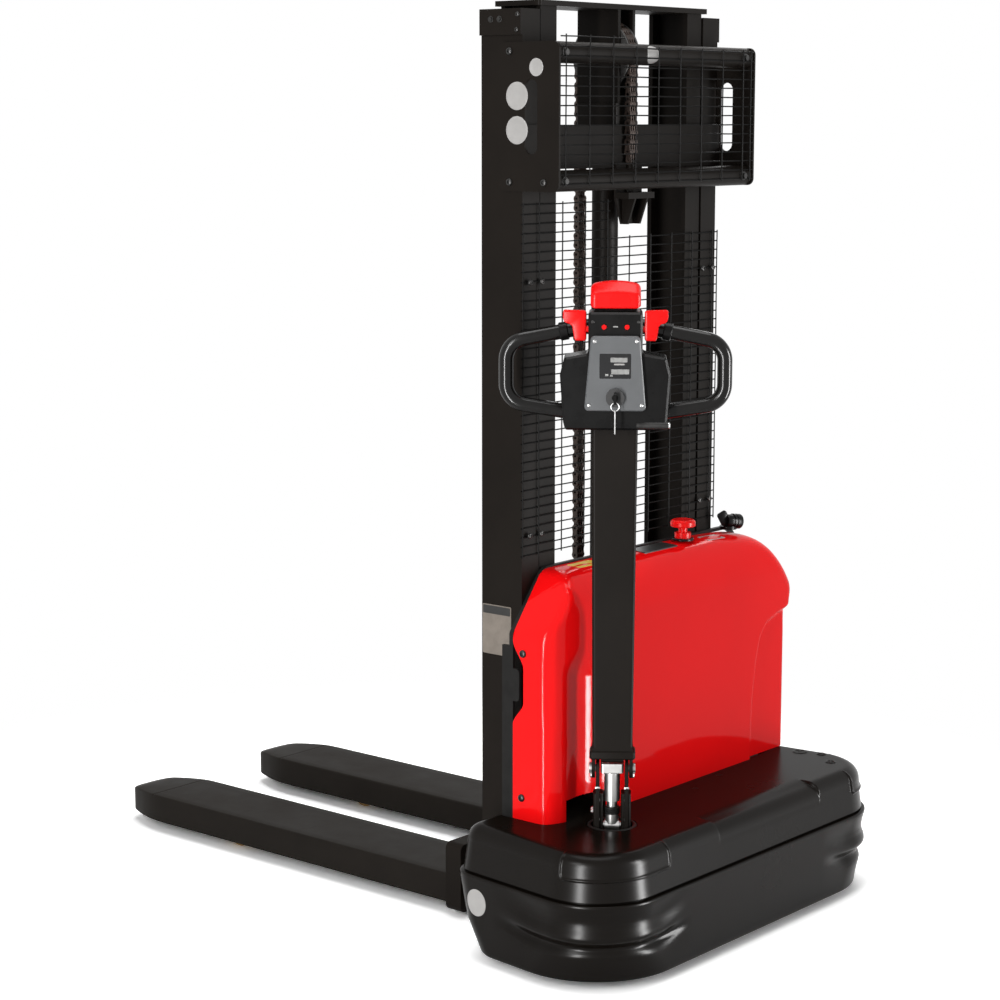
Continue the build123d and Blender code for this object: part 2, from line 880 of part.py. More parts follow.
# Lift cylinder: barrel with gland, and the rod with its piston
with BuildPart() as lift_cylinder:
    with BuildSketch(Plane.XY.offset(barrel_foot)):
        with Locations((0, cylinder_y)):
            Circle(barrel_r)
    extrude(amount=barrel_top - barrel_foot)
    with BuildSketch(Plane.XY.offset(rod_foot - piston_tall)):
        with Locations((0, cylinder_y)):
            Circle(barrel_bore_r + run_gap)
    extrude(amount=barrel_top - gland_tall - rod_foot + piston_tall, mode=Mode.SUBTRACT)
    with BuildSketch(Plane.XY.offset(barrel_top - gland_tall)):
        with Locations((0, cylinder_y)):
            Circle(rod_r + run_gap)
    extrude(amount=gland_tall, mode=Mode.SUBTRACT)
finish(lift_cylinder, "lift_cylinder")

with BuildPart() as piston_rod:
    with BuildSketch(Plane.XY.offset(rod_foot)):
        with Locations((0, cylinder_y)):
            Circle(barrel_bore_r)
    extrude(amount=piston_tall)
    with BuildSketch(Plane.XY.offset(rod_foot + piston_tall)):
        with Locations((0, cylinder_y)):
            Circle(rod_r)
    extrude(amount=bridge_top - yoke_bridge - rod_foot - piston_tall)
finish(piston_rod, "piston_rod")

# Upper crossbeam on the rear of the outer mast, with the cylinder clamp
beam_rear = mast_rear - beam_thick
clamp_z = beam_bottom + clamp_rise
with BuildPart() as upper_crossbeam:
    with BuildSketch(Plane.XZ.offset(-mast_rear)):
        with Locations((0, beam_bottom + beam_tall / 2)):
            RectangleRounded(2 * mast_half, beam_tall, guard_corner / 2)
    extrude(amount=beam_thick)
    with BuildSketch(Plane.XY.offset(clamp_z)):
        with BuildLine():
            clamp_arc = CenterArc((0, cylinder_y), clamp_half, 0, 180)
            Line(clamp_arc @ 1, (-clamp_half, mast_rear))
            Line((-clamp_half, mast_rear), (clamp_half, mast_rear))
            Line((clamp_half, mast_rear), clamp_arc @ 0)
        make_face()
        with Locations((0, cylinder_y)):
            Circle(barrel_r, mode=Mode.SUBTRACT)
    extrude(amount=clamp_tall)
finish(upper_crossbeam, "upper_crossbeam")

# Chain anchor: a lug with two tapered gussets below, and the anchor bolt
with BuildPart() as chain_anchor:
    with BuildSketch(Plane.XZ.offset(-beam_rear)):
        with BuildLine():
            Polyline(
                (-anchor_half, anchor_top),
                (anchor_half, anchor_top),
                (anchor_half, anchor_lug_z),
                (anchor_foot_half, anchor_bottom),
                (-anchor_foot_half, anchor_bottom),
                (-anchor_half, anchor_lug_z),
                close=True,
            )
        make_face()
    extrude(amount=guard_plate)
    with BuildSketch(Plane.XY.offset(anchor_lug_z)):
        with Locations((0, beam_rear - anchor_depth / 2)):
            Rectangle(2 * anchor_half, anchor_depth)
    extrude(amount=anchor_lug_thick)
    for side, name in sides:
        with BuildSketch(Plane.YZ.offset(side * anchor_foot_half)):
            with BuildLine():
                Polyline(
                    (beam_rear, anchor_lug_z),
                    (beam_rear - anchor_depth, anchor_lug_z),
                    (beam_rear - anchor_depth / 2, anchor_bottom),
                    (beam_rear, anchor_bottom),
                    close=True,
                )
            make_face()
        extrude(amount=-side * guard_plate)
    with BuildSketch(Plane.XY.offset(anchor_lug_z + anchor_lug_thick)):
        with Locations((0, chain_rear_y)):
            RegularPolygon(anchor_nut_r, 6)
    extrude(amount=anchor_nut_tall)
    with BuildSketch(Plane.XY.offset(anchor_lug_z + anchor_lug_thick)):
        with Locations((0, chain_rear_y)):
            Circle(anchor_bolt_r)
    extrude(amount=chain_rear_end - anchor_lug_z - anchor_lug_thick)
finish(chain_anchor, "chain_anchor")

# Guard cage: slotted side plates, two tubes and the mesh on their rear
guard_rear = mast_rear - guard_reach
tube_y = guard_rear + guard_tube_r + free_gap
with BuildPart() as guard_plates:
    for side, name in sides:
        with BuildSketch(Plane.YZ.offset(side * mast_half)):
            with Locations(((guard_rear + mast_rear + guard_lap) / 2, (guard_bottom + guard_top) / 2)):
                RectangleRounded(guard_reach + guard_lap, guard_top - guard_bottom, guard_corner)
            with Locations(((tube_y + guard_tube_r + mast_rear) / 2, (guard_bottom + guard_top) / 2)):
                SlotOverall(guard_slot_tall, guard_slot_wide, rotation=90, mode=Mode.SUBTRACT)
        extrude(amount=side * guard_plate)
finish(guard_plates, "guard_plates")

tube_low = guard_bottom + guard_tube_r
tube_high = guard_top - guard_tube_r
with BuildPart() as guard_tubes:
    for height in (tube_low, tube_high):
        with BuildSketch(Plane.YZ):
            with Locations((tube_y, height)):
                Circle(guard_tube_r)
        extrude(amount=mast_half, both=True)
finish(guard_tubes, "guard_tubes")


def wire_mesh(name, overhang, seat_y, bottom, top):
    """Welded mesh of separate wires: upright ones on the seat, level ones behind them."""
    columns = round(2 * mast_half / mesh_column)
    rows = round((top - bottom) / mesh_row)
    with BuildPart() as upright_wires:
        with BuildSketch(Plane.XZ.offset(-seat_y)):
            with Locations((0, (bottom + top) / 2)):
                with GridLocations((2 * mast_half - wire) / columns, 0, columns + 1, 1):
                    Rectangle(wire, top - bottom)
        extrude(amount=wire)
    with BuildPart() as level_wires:
        with BuildSketch(Plane.XZ.offset(-(seat_y - wire))):
            with Locations((0, (bottom + top) / 2)):
                with GridLocations(0, (top - bottom - wire) / rows, 1, rows + 1):
                    Rectangle(2 * (mast_half + overhang), wire)
        extrude(amount=wire)
    mesh = Compound([*upright_wires.part.solids(), *level_wires.part.solids()])
    mesh.label = name
    export_step(mesh, f"parts/{name}.step")


wire_mesh("guard_mesh", 0, guard_rear + free_gap - mesh_seat, tube_low, tube_high)
wire_mesh("mast_mesh", mesh_overhang, mast_rear, mesh_bottom, mesh_top)

# Carriage: roller plates, face plate with the chain lug, and the low cross plate of the forks
carriage_in = carriage_outer - carriage_plate
carriage_rear = mast_mid - inner_depth / 2 + inner_flange + carriage_back_gap
carriage_stub = carriage_roller_face - carriage_outer
face_front = carriage_face_rear + carriage_face
cross_rear = cross_y - cross_thick
with BuildPart() as carriage_frame:
    for side, name in sides:
        with BuildSketch(Plane.YZ.offset(side * carriage_in)):
            with BuildLine():
                Polyline(
                    (carriage_rear, carriage_bottom),
                    (cross_rear, carriage_bottom),
                    (cross_rear, cross_top),
                    (face_front, cross_top + carriage_face),
                    (face_front, carriage_top),
                    (carriage_rear, carriage_top),
                    close=True,
                )
            make_face()
        extrude(amount=side * carriage_plate)
        for height in (carriage_roller_low, carriage_roller_high):
            with BuildSketch(Plane.YZ.offset(side * carriage_outer)):
                with Locations((mast_mid, height)):
                    Circle(stub_r)
            extrude(amount=side * carriage_stub)
    with BuildSketch(Plane.XZ.offset(-carriage_face_rear)):
        with Locations((0, (cross_top + carriage_top) / 2)):
            Rectangle(2 * carriage_in, carriage_top - cross_top)
    extrude(amount=-carriage_face)
    with BuildSketch(Plane.XY.offset(chain_front_end - chain_lug_tall)):
        with Locations((0, chain_front_y)):
            Rectangle(2 * chain_lug_half, 2 * (carriage_face_rear - chain_front_y))
    extrude(amount=chain_lug_tall)
    with BuildSketch(Plane.XZ.offset(-cross_rear)):
        with Locations((0, (cross_bottom + cross_top) / 2)):
            RectangleRounded(2 * cross_half, cross_top - cross_bottom, guard_corner)
        for side, name in sides:
            notch_tall = leg_top + leg_room - cross_bottom
            with Locations((side * leg_x, cross_bottom)):
                Rectangle(leg_wide + 2 * leg_room, 2 * notch_tall, mode=Mode.SUBTRACT)
    extrude(amount=-cross_thick)
finish(carriage_frame, "carriage_frame")

# Forks: inverted channels over the legs, with a tapered, sloped nose
for side, name in sides:
    with BuildPart() as fork:
        with BuildSketch(Plane.XY.offset(fork_top - fork_tall)) as fork_plan:
            with BuildLine():
                Polyline(
                    (side * fork_mid - fork_wide / 2, cross_y),
                    (side * fork_mid - fork_wide / 2, fork_tip - fork_taper),
                    (side * fork_mid - fork_tip_half, fork_tip),
                    (side * fork_mid + fork_tip_half, fork_tip),
                    (side * fork_mid + fork_wide / 2, fork_tip - fork_taper),
                    (side * fork_mid + fork_wide / 2, cross_y),
                    close=True,
                )
            make_face()
            fillet(fork_plan.vertices().group_by(Axis.Y)[-1], fork_tip_round)
        extrude(amount=fork_tall)
        with BuildSketch(Plane.YZ.offset(side * fork_mid)):
            with BuildLine():
                Polyline(
                    (fork_tip - fork_nose, fork_top),
                    (fork_tip, fork_top - fork_nose_drop),
                    (fork_tip, fork_top),
                    close=True,
                )
            make_face()
        extrude(amount=fork_wide, both=True, mode=Mode.SUBTRACT)
        with BuildSketch(Plane.XY.offset(fork_top - fork_tall)):
            with Locations((side * fork_mid, (cross_y + fork_tip - fork_taper) / 2)):
                Rectangle(fork_wide - 2 * fork_plate, fork_tip - fork_taper - cross_y)
        extrude(amount=fork_tall - fork_plate, mode=Mode.SUBTRACT)
    finish(fork, f"fork_{name}")


# Hood: a plan outline cut by a front profile, a rear bevel, the tiller's hollow and a corner cut
def hood_profile(inset):
    """Front view of the hood: sloped left shoulder, flat top and a flared right shoulder."""
    top = hood_top - inset
    left = hood_left + inset
    right = hood_right - inset
    with BuildSketch(mode=Mode.PRIVATE) as profile:
        with BuildLine():
            Polyline(
                (left, hood_foot),
                (left, hood_shoulder_left - inset / 2),
                (left + hood_slope_left, top),
                (right + hood_flare - hood_slope_right, top),
                (right + hood_flare, hood_shoulder_right),
                (right, hood_shoulder_right - hood_flare_tall),
                (right, hood_foot),
                close=True,
            )
        make_face()
        shoulder = profile.vertices().filter_by_position(Axis.Y, hood_shoulder_right, hood_shoulder_right)
        fillet(shoulder, hood_shoulder_round - inset)
        waist = profile.vertices().filter_by_position(
            Axis.Y, hood_shoulder_right - hood_flare_tall, hood_shoulder_right - hood_flare_tall
        )
        fillet(waist, hood_shoulder_round)
        crown = profile.vertices().group_by(Axis.Y)[-1].sort_by(Axis.X)
        fillet(crown[-1], hood_crown_round - inset)
        fillet(profile.vertices().group_by(Axis.Y)[-1].sort_by(Axis.X)[0], hood_round - inset)
        fillet(profile.vertices().group_by(Axis.X)[0].sort_by(Axis.Y)[-1], hood_round / 2)
    return profile.sketch


def crease_cut(inset):
    """Wedge that sets the hood's rear right panel back below a creased line."""
    rear = hood_rear_y + inset
    edge = hood_right + 2 * hood_flare
    crease_face = [
        (hood_crease, hood_foot),
        (hood_crease, hood_crease_low),
        (hood_crease + hood_crease_run, hood_crease_mid),
        (edge, hood_crease_high),
        (edge, hood_foot),
    ]
    with BuildPart(mode=Mode.PRIVATE) as cut:
        with BuildSketch(Plane.XY.offset(hood_foot)):
            Polygon(
                (hood_crease, rear - hood_wall),
                (edge, rear - hood_wall),
                (edge, rear + hood_crease_deep),
                (hood_crease, rear),
                align=None,
            )
        extrude(amount=hood_crease_high - hood_foot)
        with BuildSketch(Plane.XZ.offset(-(rear - hood_wall))):
            Polygon(*crease_face, align=None)
        extrude(amount=-hood_crease_deep - 2 * hood_wall, mode=Mode.INTERSECT)
    return cut.part


def hood_form(inset):
    """The hood's outer form, or the smaller form that hollows it."""
    profile = hood_profile(inset)
    crease = crease_cut(inset)
    rear = hood_rear_y + inset
    with BuildPart(mode=Mode.PRIVATE) as form:
        with BuildSketch(Plane.XY.offset(hood_foot)) as plan:
            with BuildLine():
                Polyline(
                    (hood_left + inset, hood_front_y),
                    (hood_left + inset, rear),
                    (hood_right + hood_flare - inset, rear),
                    (hood_right + hood_flare - inset, hood_front_y),
                    close=True,
                )
            make_face()
            fillet(plan.vertices().group_by(Axis.Y)[0], hood_corner - inset)
        extrude(amount=hood_top - hood_foot)
        with BuildSketch(Plane.XZ.offset(-hood_front_y)):
            add(profile)
        extrude(amount=hood_front - hood_rear, mode=Mode.INTERSECT)
        with BuildSketch(Plane.YZ):
            with BuildLine():
                Polyline(
                    (base_rear + hood_bevel_start, hood_top - inset),
                    (hood_rear_y - hood_wall, hood_top - hood_bevel_drop - inset),
                    (hood_rear_y - hood_wall, hood_top + hood_wall),
                    (base_rear + hood_bevel_start, hood_top + hood_wall),
                    close=True,
                )
            make_face()
        extrude(amount=hood_right - hood_left, both=True, mode=Mode.SUBTRACT)
        with BuildSketch(Plane.XY.offset(hood_foot)):
            with Locations((steer_x, steer_y)):
                Circle(hood_valley_r + inset)
        extrude(amount=hood_valley_top - hood_foot, mode=Mode.SUBTRACT)
        with BuildSketch(Plane.XY.offset(hood_valley_top)):
            with Locations((steer_x, steer_y)):
                Circle(hood_valley_r + inset)
        extrude(amount=hood_valley_fade, taper=hood_valley_taper, mode=Mode.SUBTRACT)
        add(crease, mode=Mode.SUBTRACT)
    return form.part


hood_outer = hood_form(0)
hood_inner = hood_form(hood_wall)
with BuildPart() as hood:
    add(hood_outer)
    add(hood_inner, mode=Mode.SUBTRACT)
    add(cover_form.part, mode=Mode.SUBTRACT)
    with BuildSketch(Plane.XY.offset(hood_foot)):
        with Locations((steer_x, steer_y)):
            Circle(hood_notch_r)
    extrude(amount=hood_notch_top - hood_foot, mode=Mode.SUBTRACT)
    with BuildSketch(Plane.YZ.offset(hood_left)) as grip:
        with BuildLine():
            Polyline(
                (hood_front_y + grip_lip, grip_bottom - grip_slope),
                (hood_front_y, grip_bottom - grip_slope),
                (hood_front_y - grip_deep, grip_bottom),
                (hood_front_y - grip_deep, grip_top),
                (hood_front_y, grip_top + grip_slope),
                (hood_front_y + grip_lip, grip_top + grip_slope),
                close=True,
            )
        make_face()
        fillet(grip.vertices().group_by(Axis.X)[0], grip_lip)
    extrude(amount=hood_wall + hood_round, both=True, mode=Mode.SUBTRACT)
finish(hood, "hood")

# Black seal round the hood's front edge, with a side bar and the connector block
seal_outer = hood_profile(0)
seal_inner = hood_profile(seal_wall)
with BuildPart() as hood_seal:
    with BuildSketch(Plane.XZ.offset(-mast_rear)):
        add(seal_outer)
        add(seal_inner, mode=Mode.SUBTRACT)
    extrude(amount=mast_rear - hood_front_y)
    add(cover_form.part, mode=Mode.SUBTRACT)
    with BuildSketch(Plane.XY.offset(cover_top)):
        with Locations((hood_left + seal_wall / 2, mast_rear + seal_reach / 2)):
            Rectangle(seal_wall, seal_reach)
    extrude(amount=hood_shoulder_left - hood_round - cover_top)
    with BuildSketch(Plane.YZ.offset(hood_left + seal_wall)):
        with Locations((hood_front_y + seal_wall / 2, (grip_bottom + grip_top) / 2)):
            RectangleRounded(2 * grip_deep - 2 * seal_wall, grip_top - grip_bottom, plug_corner)
    extrude(amount=-seal_wall)
finish(hood_seal, "hood_seal")

# Battery pack and pump unit stand on the deck
bay_rear = hood_rear_y + bay_gap
bay_deep = mast_rear - bulkhead_thick - bay_rear
bay_mid = bay_rear + bay_deep / 2
with BuildPart() as battery_pack:
    with BuildSketch(Plane.XY.offset(deck_top)):
        with Locations(((battery_left + battery_right) / 2, bay_mid)):
            RectangleRounded(battery_right - battery_left, bay_deep - module_gap, module_gap)
    extrude(amount=battery_tall)
    with BuildSketch(Plane.XY.offset(deck_top + battery_tall)):
        with Locations(((battery_left + battery_right) / 2, bay_mid)):
            with GridLocations((battery_right - battery_left) / 2, 0, 2, 1):
                Circle(battery_handle)
    extrude(amount=battery_handle)
finish(battery_pack, "battery_pack")

with BuildPart() as pump_unit:
    with BuildSketch(Plane.XY.offset(deck_top)):
        with Locations((pump_left + tank_long / 2, bay_mid)):
            RectangleRounded(tank_long, bay_deep - module_gap, module_gap)
    extrude(amount=tank_tall)
    with BuildSketch(Plane.XY.offset(deck_top + tank_tall)):
        with Locations((pump_left + tank_long / 2, bay_mid)):
            Circle(pump_motor_r)
    extrude(amount=tank_tall - pump_motor_r)
finish(pump_unit, "pump_unit")

# Drive unit: bracket under the deck, motor on one side and the wheel on the other
bracket_bottom = deck_bottom - free_gap - bracket_thick
cheek_outer = drive_offset - free_gap
with BuildPart() as drive_bracket:
    with BuildSketch(steered(Plane.XY.offset(bracket_bottom))):
        Circle(bracket_r)
    extrude(amount=bracket_thick)
    with BuildSketch(steered(Plane.YZ.offset(cheek_outer))):
        with BuildLine():
            Polyline(
                (-bracket_r * 0.8, bracket_bottom),
                (bracket_r * 0.8, bracket_bottom),
                (motor_r, drive_r),
                (motor_r * 0.6, drive_r - motor_r * 0.8),
                (-motor_r * 0.6, drive_r - motor_r * 0.8),
                (-motor_r, drive_r),
                close=True,
            )
        make_face()
    extrude(amount=-drive_cheek)
    with BuildSketch(steered(Plane.YZ.offset(cheek_outer))):
        with Locations((0, drive_r)):
            Circle(drive_axle_r)
    extrude(amount=drive_offset - cheek_outer + drive_wide)
finish(drive_bracket, "drive_bracket")

with BuildPart() as drive_motor:
    with BuildSketch(steered(Plane.YZ.offset(cheek_outer - drive_cheek))):
        with Locations((0, drive_r)):
            Circle(motor_r)
    extrude(amount=-motor_long)
    chamfer(drive_motor.faces().sort_by(Axis.X)[0].edges().filter_by(GeomType.CIRCLE), motor_r / 8)
finish(drive_motor, "drive_motor")

with BuildPart() as drive_wheel:
    with BuildSketch(steered(Plane.YZ.offset(drive_offset))):
        with Locations((0, drive_r)):
            Circle(drive_hub_r)
            Circle(drive_axle_r + run_gap, mode=Mode.SUBTRACT)
    extrude(amount=drive_wide)
finish(drive_wheel, "drive_wheel")

with BuildPart() as drive_tyre:
    with BuildSketch(steered(Plane.YZ.offset(drive_offset))):
        with Locations((0, drive_r)):
            Circle(drive_r)
            Circle(drive_hub_r, mode=Mode.SUBTRACT)
    extrude(amount=drive_wide)
finish(drive_tyre, "drive_tyre")

# Tiller base: steering shaft, turntable disc and two lugs for the arm's pivot
disc_bottom = deck_top + free_gap
disc_top = disc_bottom + turntable_thick
with BuildPart() as tiller_base:
    with BuildSketch(steered(Plane.XY.offset(bracket_bottom + bracket_thick))):
        Circle(steer_shaft_r - run_gap)
    extrude(amount=disc_bottom - bracket_bottom - bracket_thick)
    with BuildSketch(steered(Plane.XY.offset(disc_bottom))):
        Circle(turntable_r)
    extrude(amount=turntable_thick)
    chamfer(tiller_base.faces().sort_by(Axis.Z)[-1].edges(), turntable_thick / 4)
    for side, name in sides:
        with BuildSketch(steered(Plane.YZ.offset(side * lug_in))):
            with BuildLine():
                crown = CenterArc((0, pivot_z), lug_deep / 2, 0, 180)
                Polyline(
                    crown @ 1,
                    (-lug_deep / 2 - lug_spread, disc_top),
                    (lug_deep / 2 + lug_spread, disc_top),
                    crown @ 0,
                )
            make_face()
            with Locations((0, pivot_z), (0, spring_foot_z)):
                Circle(pivot_r + run_gap, mode=Mode.SUBTRACT)
        extrude(amount=side * lug_thick)
    with BuildSketch(steered(Plane.XY.offset(disc_top))):
        for side, name in sides:
            with Locations((side * (foot_block_half + foot_block_slot) / 2, 0)):
                RectangleRounded(foot_block_half - foot_block_slot, foot_block_deep, foot_block_round)
    extrude(amount=foot_block_top - disc_top)
    with BuildSketch(steered(Plane.YZ)):
        with Locations((0, spring_foot_z)):
            Circle(pivot_r + run_gap)
    extrude(amount=foot_block_half, both=True, mode=Mode.SUBTRACT)
finish(tiller_base, "tiller_base")

# Tiller arm: a flat tube with two ears on the pivot and the saddle over the gas spring
ear_out = ear_in + ear_thick
with BuildPart() as tiller_arm:
    with BuildSketch(steered(Plane.XY.offset(arm_bottom))):
        RectangleRounded(arm_wide, arm_deep, 2 * arm_wall)
    with BuildSketch(steered(Plane.XY.offset(arm_top))):
        RectangleRounded(arm_top_wide, arm_deep, 2 * arm_wall)
    loft()
    with BuildSketch(steered(Plane.XY.offset(arm_bottom))):
        RectangleRounded(arm_wide - 2 * arm_wall, arm_deep - 2 * arm_wall, arm_wall)
    with BuildSketch(steered(Plane.XY.offset(arm_top))):
        RectangleRounded(arm_top_wide - 2 * arm_wall, arm_deep - 2 * arm_wall, arm_wall)
    loft(mode=Mode.SUBTRACT)
    with BuildSketch(steered(Plane.XY.offset(arm_web_low))):
        Rectangle(arm_wide - arm_wall, arm_deep - arm_wall)
    extrude(amount=arm_web)
    for side, name in sides:
        with BuildSketch(steered(Plane.YZ.offset(side * ear_in))):
            with BuildLine():
                sole = CenterArc((0, pivot_z), arm_deep / 2, 180, 180)
                Polyline(
                    sole @ 1,
                    (arm_deep / 2, arm_web_low + arm_web),
                    (-arm_deep / 2, arm_web_low + arm_web),
                    sole @ 0,
                )
            make_face()
            with Locations((0, pivot_z)):
                Circle(pivot_r, mode=Mode.SUBTRACT)
        extrude(amount=side * ear_thick)
    with BuildSketch(steered(Plane.YZ)):
        with Locations((0, spring_pin_z)):
            Circle(saddle_pin_r)
        with Locations((0, (spring_pin_z + arm_web_low) / 2)):
            Rectangle(2 * saddle_pin_r, arm_web_low - spring_pin_z)
    extrude(amount=spring_cap_half, both=True)
finish(tiller_arm, "tiller_arm")

with BuildPart() as pivot_pins:
    for side, name in sides:
        with BuildSketch(steered(Plane.YZ.offset(side * lug_in))):
            with Locations((0, pivot_z)):
                Circle(pivot_r)
        extrude(amount=side * (ear_out - lug_in))
        with BuildSketch(steered(Plane.YZ.offset(side * ear_out))):
            with Locations((0, pivot_z)):
                Circle(pin_head_r)
        extrude(amount=side * pin_head)
finish(pivot_pins, "pivot_pins")

# Gas spring: the rod turns on trunnions in the tiller base, the tube slides on the rod
with BuildPart() as gas_spring_rod:
    with BuildSketch(steered(Plane.YZ)):
        with Locations((0, spring_foot_z)):
            Circle(pivot_r)
    extrude(amount=lug_in + lug_thick, both=True)
    with BuildSketch(steered(Plane.YZ)):
        with Locations((0, spring_foot_z)):
            Circle(spring_eye_r)
    extrude(amount=spring_collar_r, both=True)
    with BuildSketch(steered(Plane.XY.offset(spring_foot_z))):
        Circle(spring_rod_r)
    extrude(amount=spring_rod_top - spring_foot_z)
    with BuildSketch(steered(Plane.XY.offset(spring_collar_low))):
        Circle(spring_collar_r)
    extrude(amount=spring_collar_tall)
finish(gas_spring_rod, "gas_spring_rod")

cap_top = spring_pin_z - saddle_pin_r - saddle_gap
with BuildPart() as gas_spring_tube:
    with BuildSketch(steered(Plane.XY.offset(spring_tube_low))):
        Circle(spring_tube_r)
    extrude(amount=spring_cap_low - spring_tube_low)
    with BuildSketch(steered(Plane.XY.offset(spring_tube_low))):
        Circle(spring_rod_r + run_gap)
    extrude(amount=spring_bore_top - spring_tube_low, mode=Mode.SUBTRACT)
    with BuildSketch(steered(Plane.XY.offset(spring_cap_low))):
        RectangleRounded(2 * spring_cap_half, spring_cap_deep, spring_cap_deep / 4)
    extrude(amount=cap_top - spring_cap_low)
finish(gas_spring_tube, "gas_spring_tube")


# Handle loops: bent tubes that end inside the head
def loop_tube(side):
    with BuildPart(mode=Mode.PRIVATE) as tube:
        with BuildLine(steered(Plane.XZ.offset(-loop_plane))) as path:
            FilletPolyline(
                (side * loop_start, loop_top_in),
                (side * loop_half, loop_top_out),
                (side * loop_half, loop_bottom_out),
                (side * loop_end, loop_bottom_in),
                radius=loop_round,
            )
        with BuildSketch(Plane(origin=path.line @ 0, z_dir=path.line % 0)):
            Circle(loop_tube_r)
        sweep(path=path.line)
    return tube.part


loop_left = loop_tube(-1)
loop_right = loop_tube(1)
with BuildPart() as handle_loops:
    add(loop_left)
    add(loop_right)
finish(handle_loops, "handle_loops")

# Head housing: a moulded body with a neck, sockets for the loops and pockets for the controls
shaft_y = -head_front + throttle_back
with BuildPart() as head_housing:
    with BuildSketch(steered(Plane.XZ.offset(head_front))) as head_face:
        with BuildLine():
            Polyline(
                (-neck_half, neck_top),
                (neck_half, neck_top),
                (neck_half, head_top + head_round),
                (head_half - head_round, head_top),
                (head_half, head_top - 4 * head_round),
                (head_waist_half, head_skirt),
                (head_chin_half, head_bottom),
                (-head_chin_half, head_bottom),
                (-head_waist_half, head_skirt),
                (-head_half, head_top - 4 * head_round),
                (-head_half + head_round, head_top),
                (-neck_half, head_top + head_round),
                close=True,
            )
        make_face()
        fillet(head_face.vertices(), head_round * 0.7)
    extrude(amount=-head_front - head_back)
    chamfer(head_housing.faces().filter_by(steered(Plane.XZ)).edges(), head_edge)
    with BuildSketch(steered(Plane.XY.offset(head_bottom))):
        RectangleRounded(arm_top_wide, arm_deep, 2 * arm_wall)
    extrude(amount=arm_top - head_bottom, mode=Mode.SUBTRACT)
    add(loop_left, mode=Mode.SUBTRACT)
    add(loop_right, mode=Mode.SUBTRACT)
    with BuildSketch(steered(Plane.YZ)):
        with Locations((shaft_y, throttle_z)):
            Circle(throttle_shaft_r + run_gap)
    extrude(amount=neck_half, both=True, mode=Mode.SUBTRACT)
    with BuildSketch(steered(Plane.XZ.offset(head_front))):
        with Locations((-button_x, button_z), (button_x, button_z)):
            Circle(button_r + button_gap)
    extrude(amount=-button_pocket, mode=Mode.SUBTRACT)
    with BuildSketch(steered(Plane.XY.offset(neck_top))):
        Rectangle(2 * (belly_stem_half + button_gap), 2 * (belly_stem_half + button_gap))
    extrude(amount=-belly_stem_long - free_gap, mode=Mode.SUBTRACT)
finish(head_housing, "head_housing")

# Control panel with the key switch, and the display in its shallow pocket
with BuildPart() as control_panel:
    with BuildSketch(steered(Plane.XZ.offset(head_front))) as panel_face:
        with BuildLine():
            Polyline(
                (-panel_top_half, panel_top),
                (panel_top_half, panel_top),
                (panel_bottom_half, panel_bottom),
                (-panel_bottom_half, panel_bottom),
                close=True,
            )
        make_face()
        fillet(panel_face.vertices(), panel_round)
    extrude(amount=panel_thick)
    chamfer(control_panel.faces().filter_by(steered(Plane.XZ))[-1:].edges(), panel_thick / 6)
    with BuildSketch(steered(Plane.XZ.offset(head_front + panel_thick))):
        with Locations((0, switch_z)):
            Circle(switch_r)
    extrude(amount=switch_proud)
    with BuildSketch(steered(Plane.XZ.offset(head_front + panel_thick + switch_proud))):
        with Locations((0, switch_z)):
            Circle(key_r + run_gap)
    extrude(amount=-switch_proud, mode=Mode.SUBTRACT)
    with BuildSketch(steered(Plane.XZ.offset(head_front + panel_thick))):
        with Locations((0, display_z)):
            RectangleRounded(display_wide, display_tall, display_deep)
    extrude(amount=-display_deep, mode=Mode.SUBTRACT)
finish(control_panel, "control_panel")

with BuildPart() as display:
    with BuildSketch(steered(Plane.XZ.offset(head_front + panel_thick - display_deep))):
        with Locations((0, display_z)):
            RectangleRounded(display_wide, display_tall, display_deep)
    extrude(amount=display_deep)
finish(display, "display")

# Safety switch at the head's end, sliding on its stem
with BuildPart() as belly_switch:
    with BuildSketch(steered(Plane.XZ.offset(head_front - belly_inset))) as belly_face:
        with BuildLine():
            crest = ThreePointArc(
                (belly_half, belly_top - belly_crown), (0, belly_top), (-belly_half, belly_top - belly_crown)
            )
            Polyline(crest @ 1, (-belly_half, belly_bottom), (belly_half, belly_bottom), crest @ 0)
        make_face()
        fillet(belly_face.vertices(), belly_crown)
    extrude(amount=-belly_deep)
    with BuildSketch(steered(Plane.XY.offset(belly_bottom))):
        Rectangle(2 * belly_stem_half, 2 * belly_stem_half)
    extrude(amount=-belly_stem_long + belly_travel)
finish(belly_switch, "belly_switch")

# Butterfly throttle: a shaft through the neck with a thumb wing on each end
with BuildPart() as throttle:
    with BuildSketch(steered(Plane.YZ)):
        with Locations((shaft_y, throttle_z)):
            Circle(throttle_shaft_r)
    extrude(amount=wing_in, both=True)
    for side, name in sides:
        with BuildSketch(steered(Plane.XZ.offset(-shaft_y + wing_thick / 2))) as wing_face:
            with BuildLine():
                Polyline(
                    (side * wing_in, wing_bottom),
                    (side * wing_step, wing_bottom),
                    (side * wing_step, wing_lobe),
                    (side * wing_out, wing_lobe),
                    (side * wing_out, wing_top),
                    (side * wing_in, wing_top),
                    close=True,
                )
            make_face()
            fillet(wing_face.vertices(), wing_round)
        extrude(amount=-wing_thick)
finish(throttle, "throttle")

for side, name in ((-1, "lift_button"), (1, "lower_button")):
    with BuildPart() as button:
        with BuildSketch(steered(Plane.XZ.offset(head_front - button_seat))):
            with Locations((side * button_x, button_z)):
                Circle(button_r)
        extrude(amount=button_seat + button_proud)
    finish(button, name)

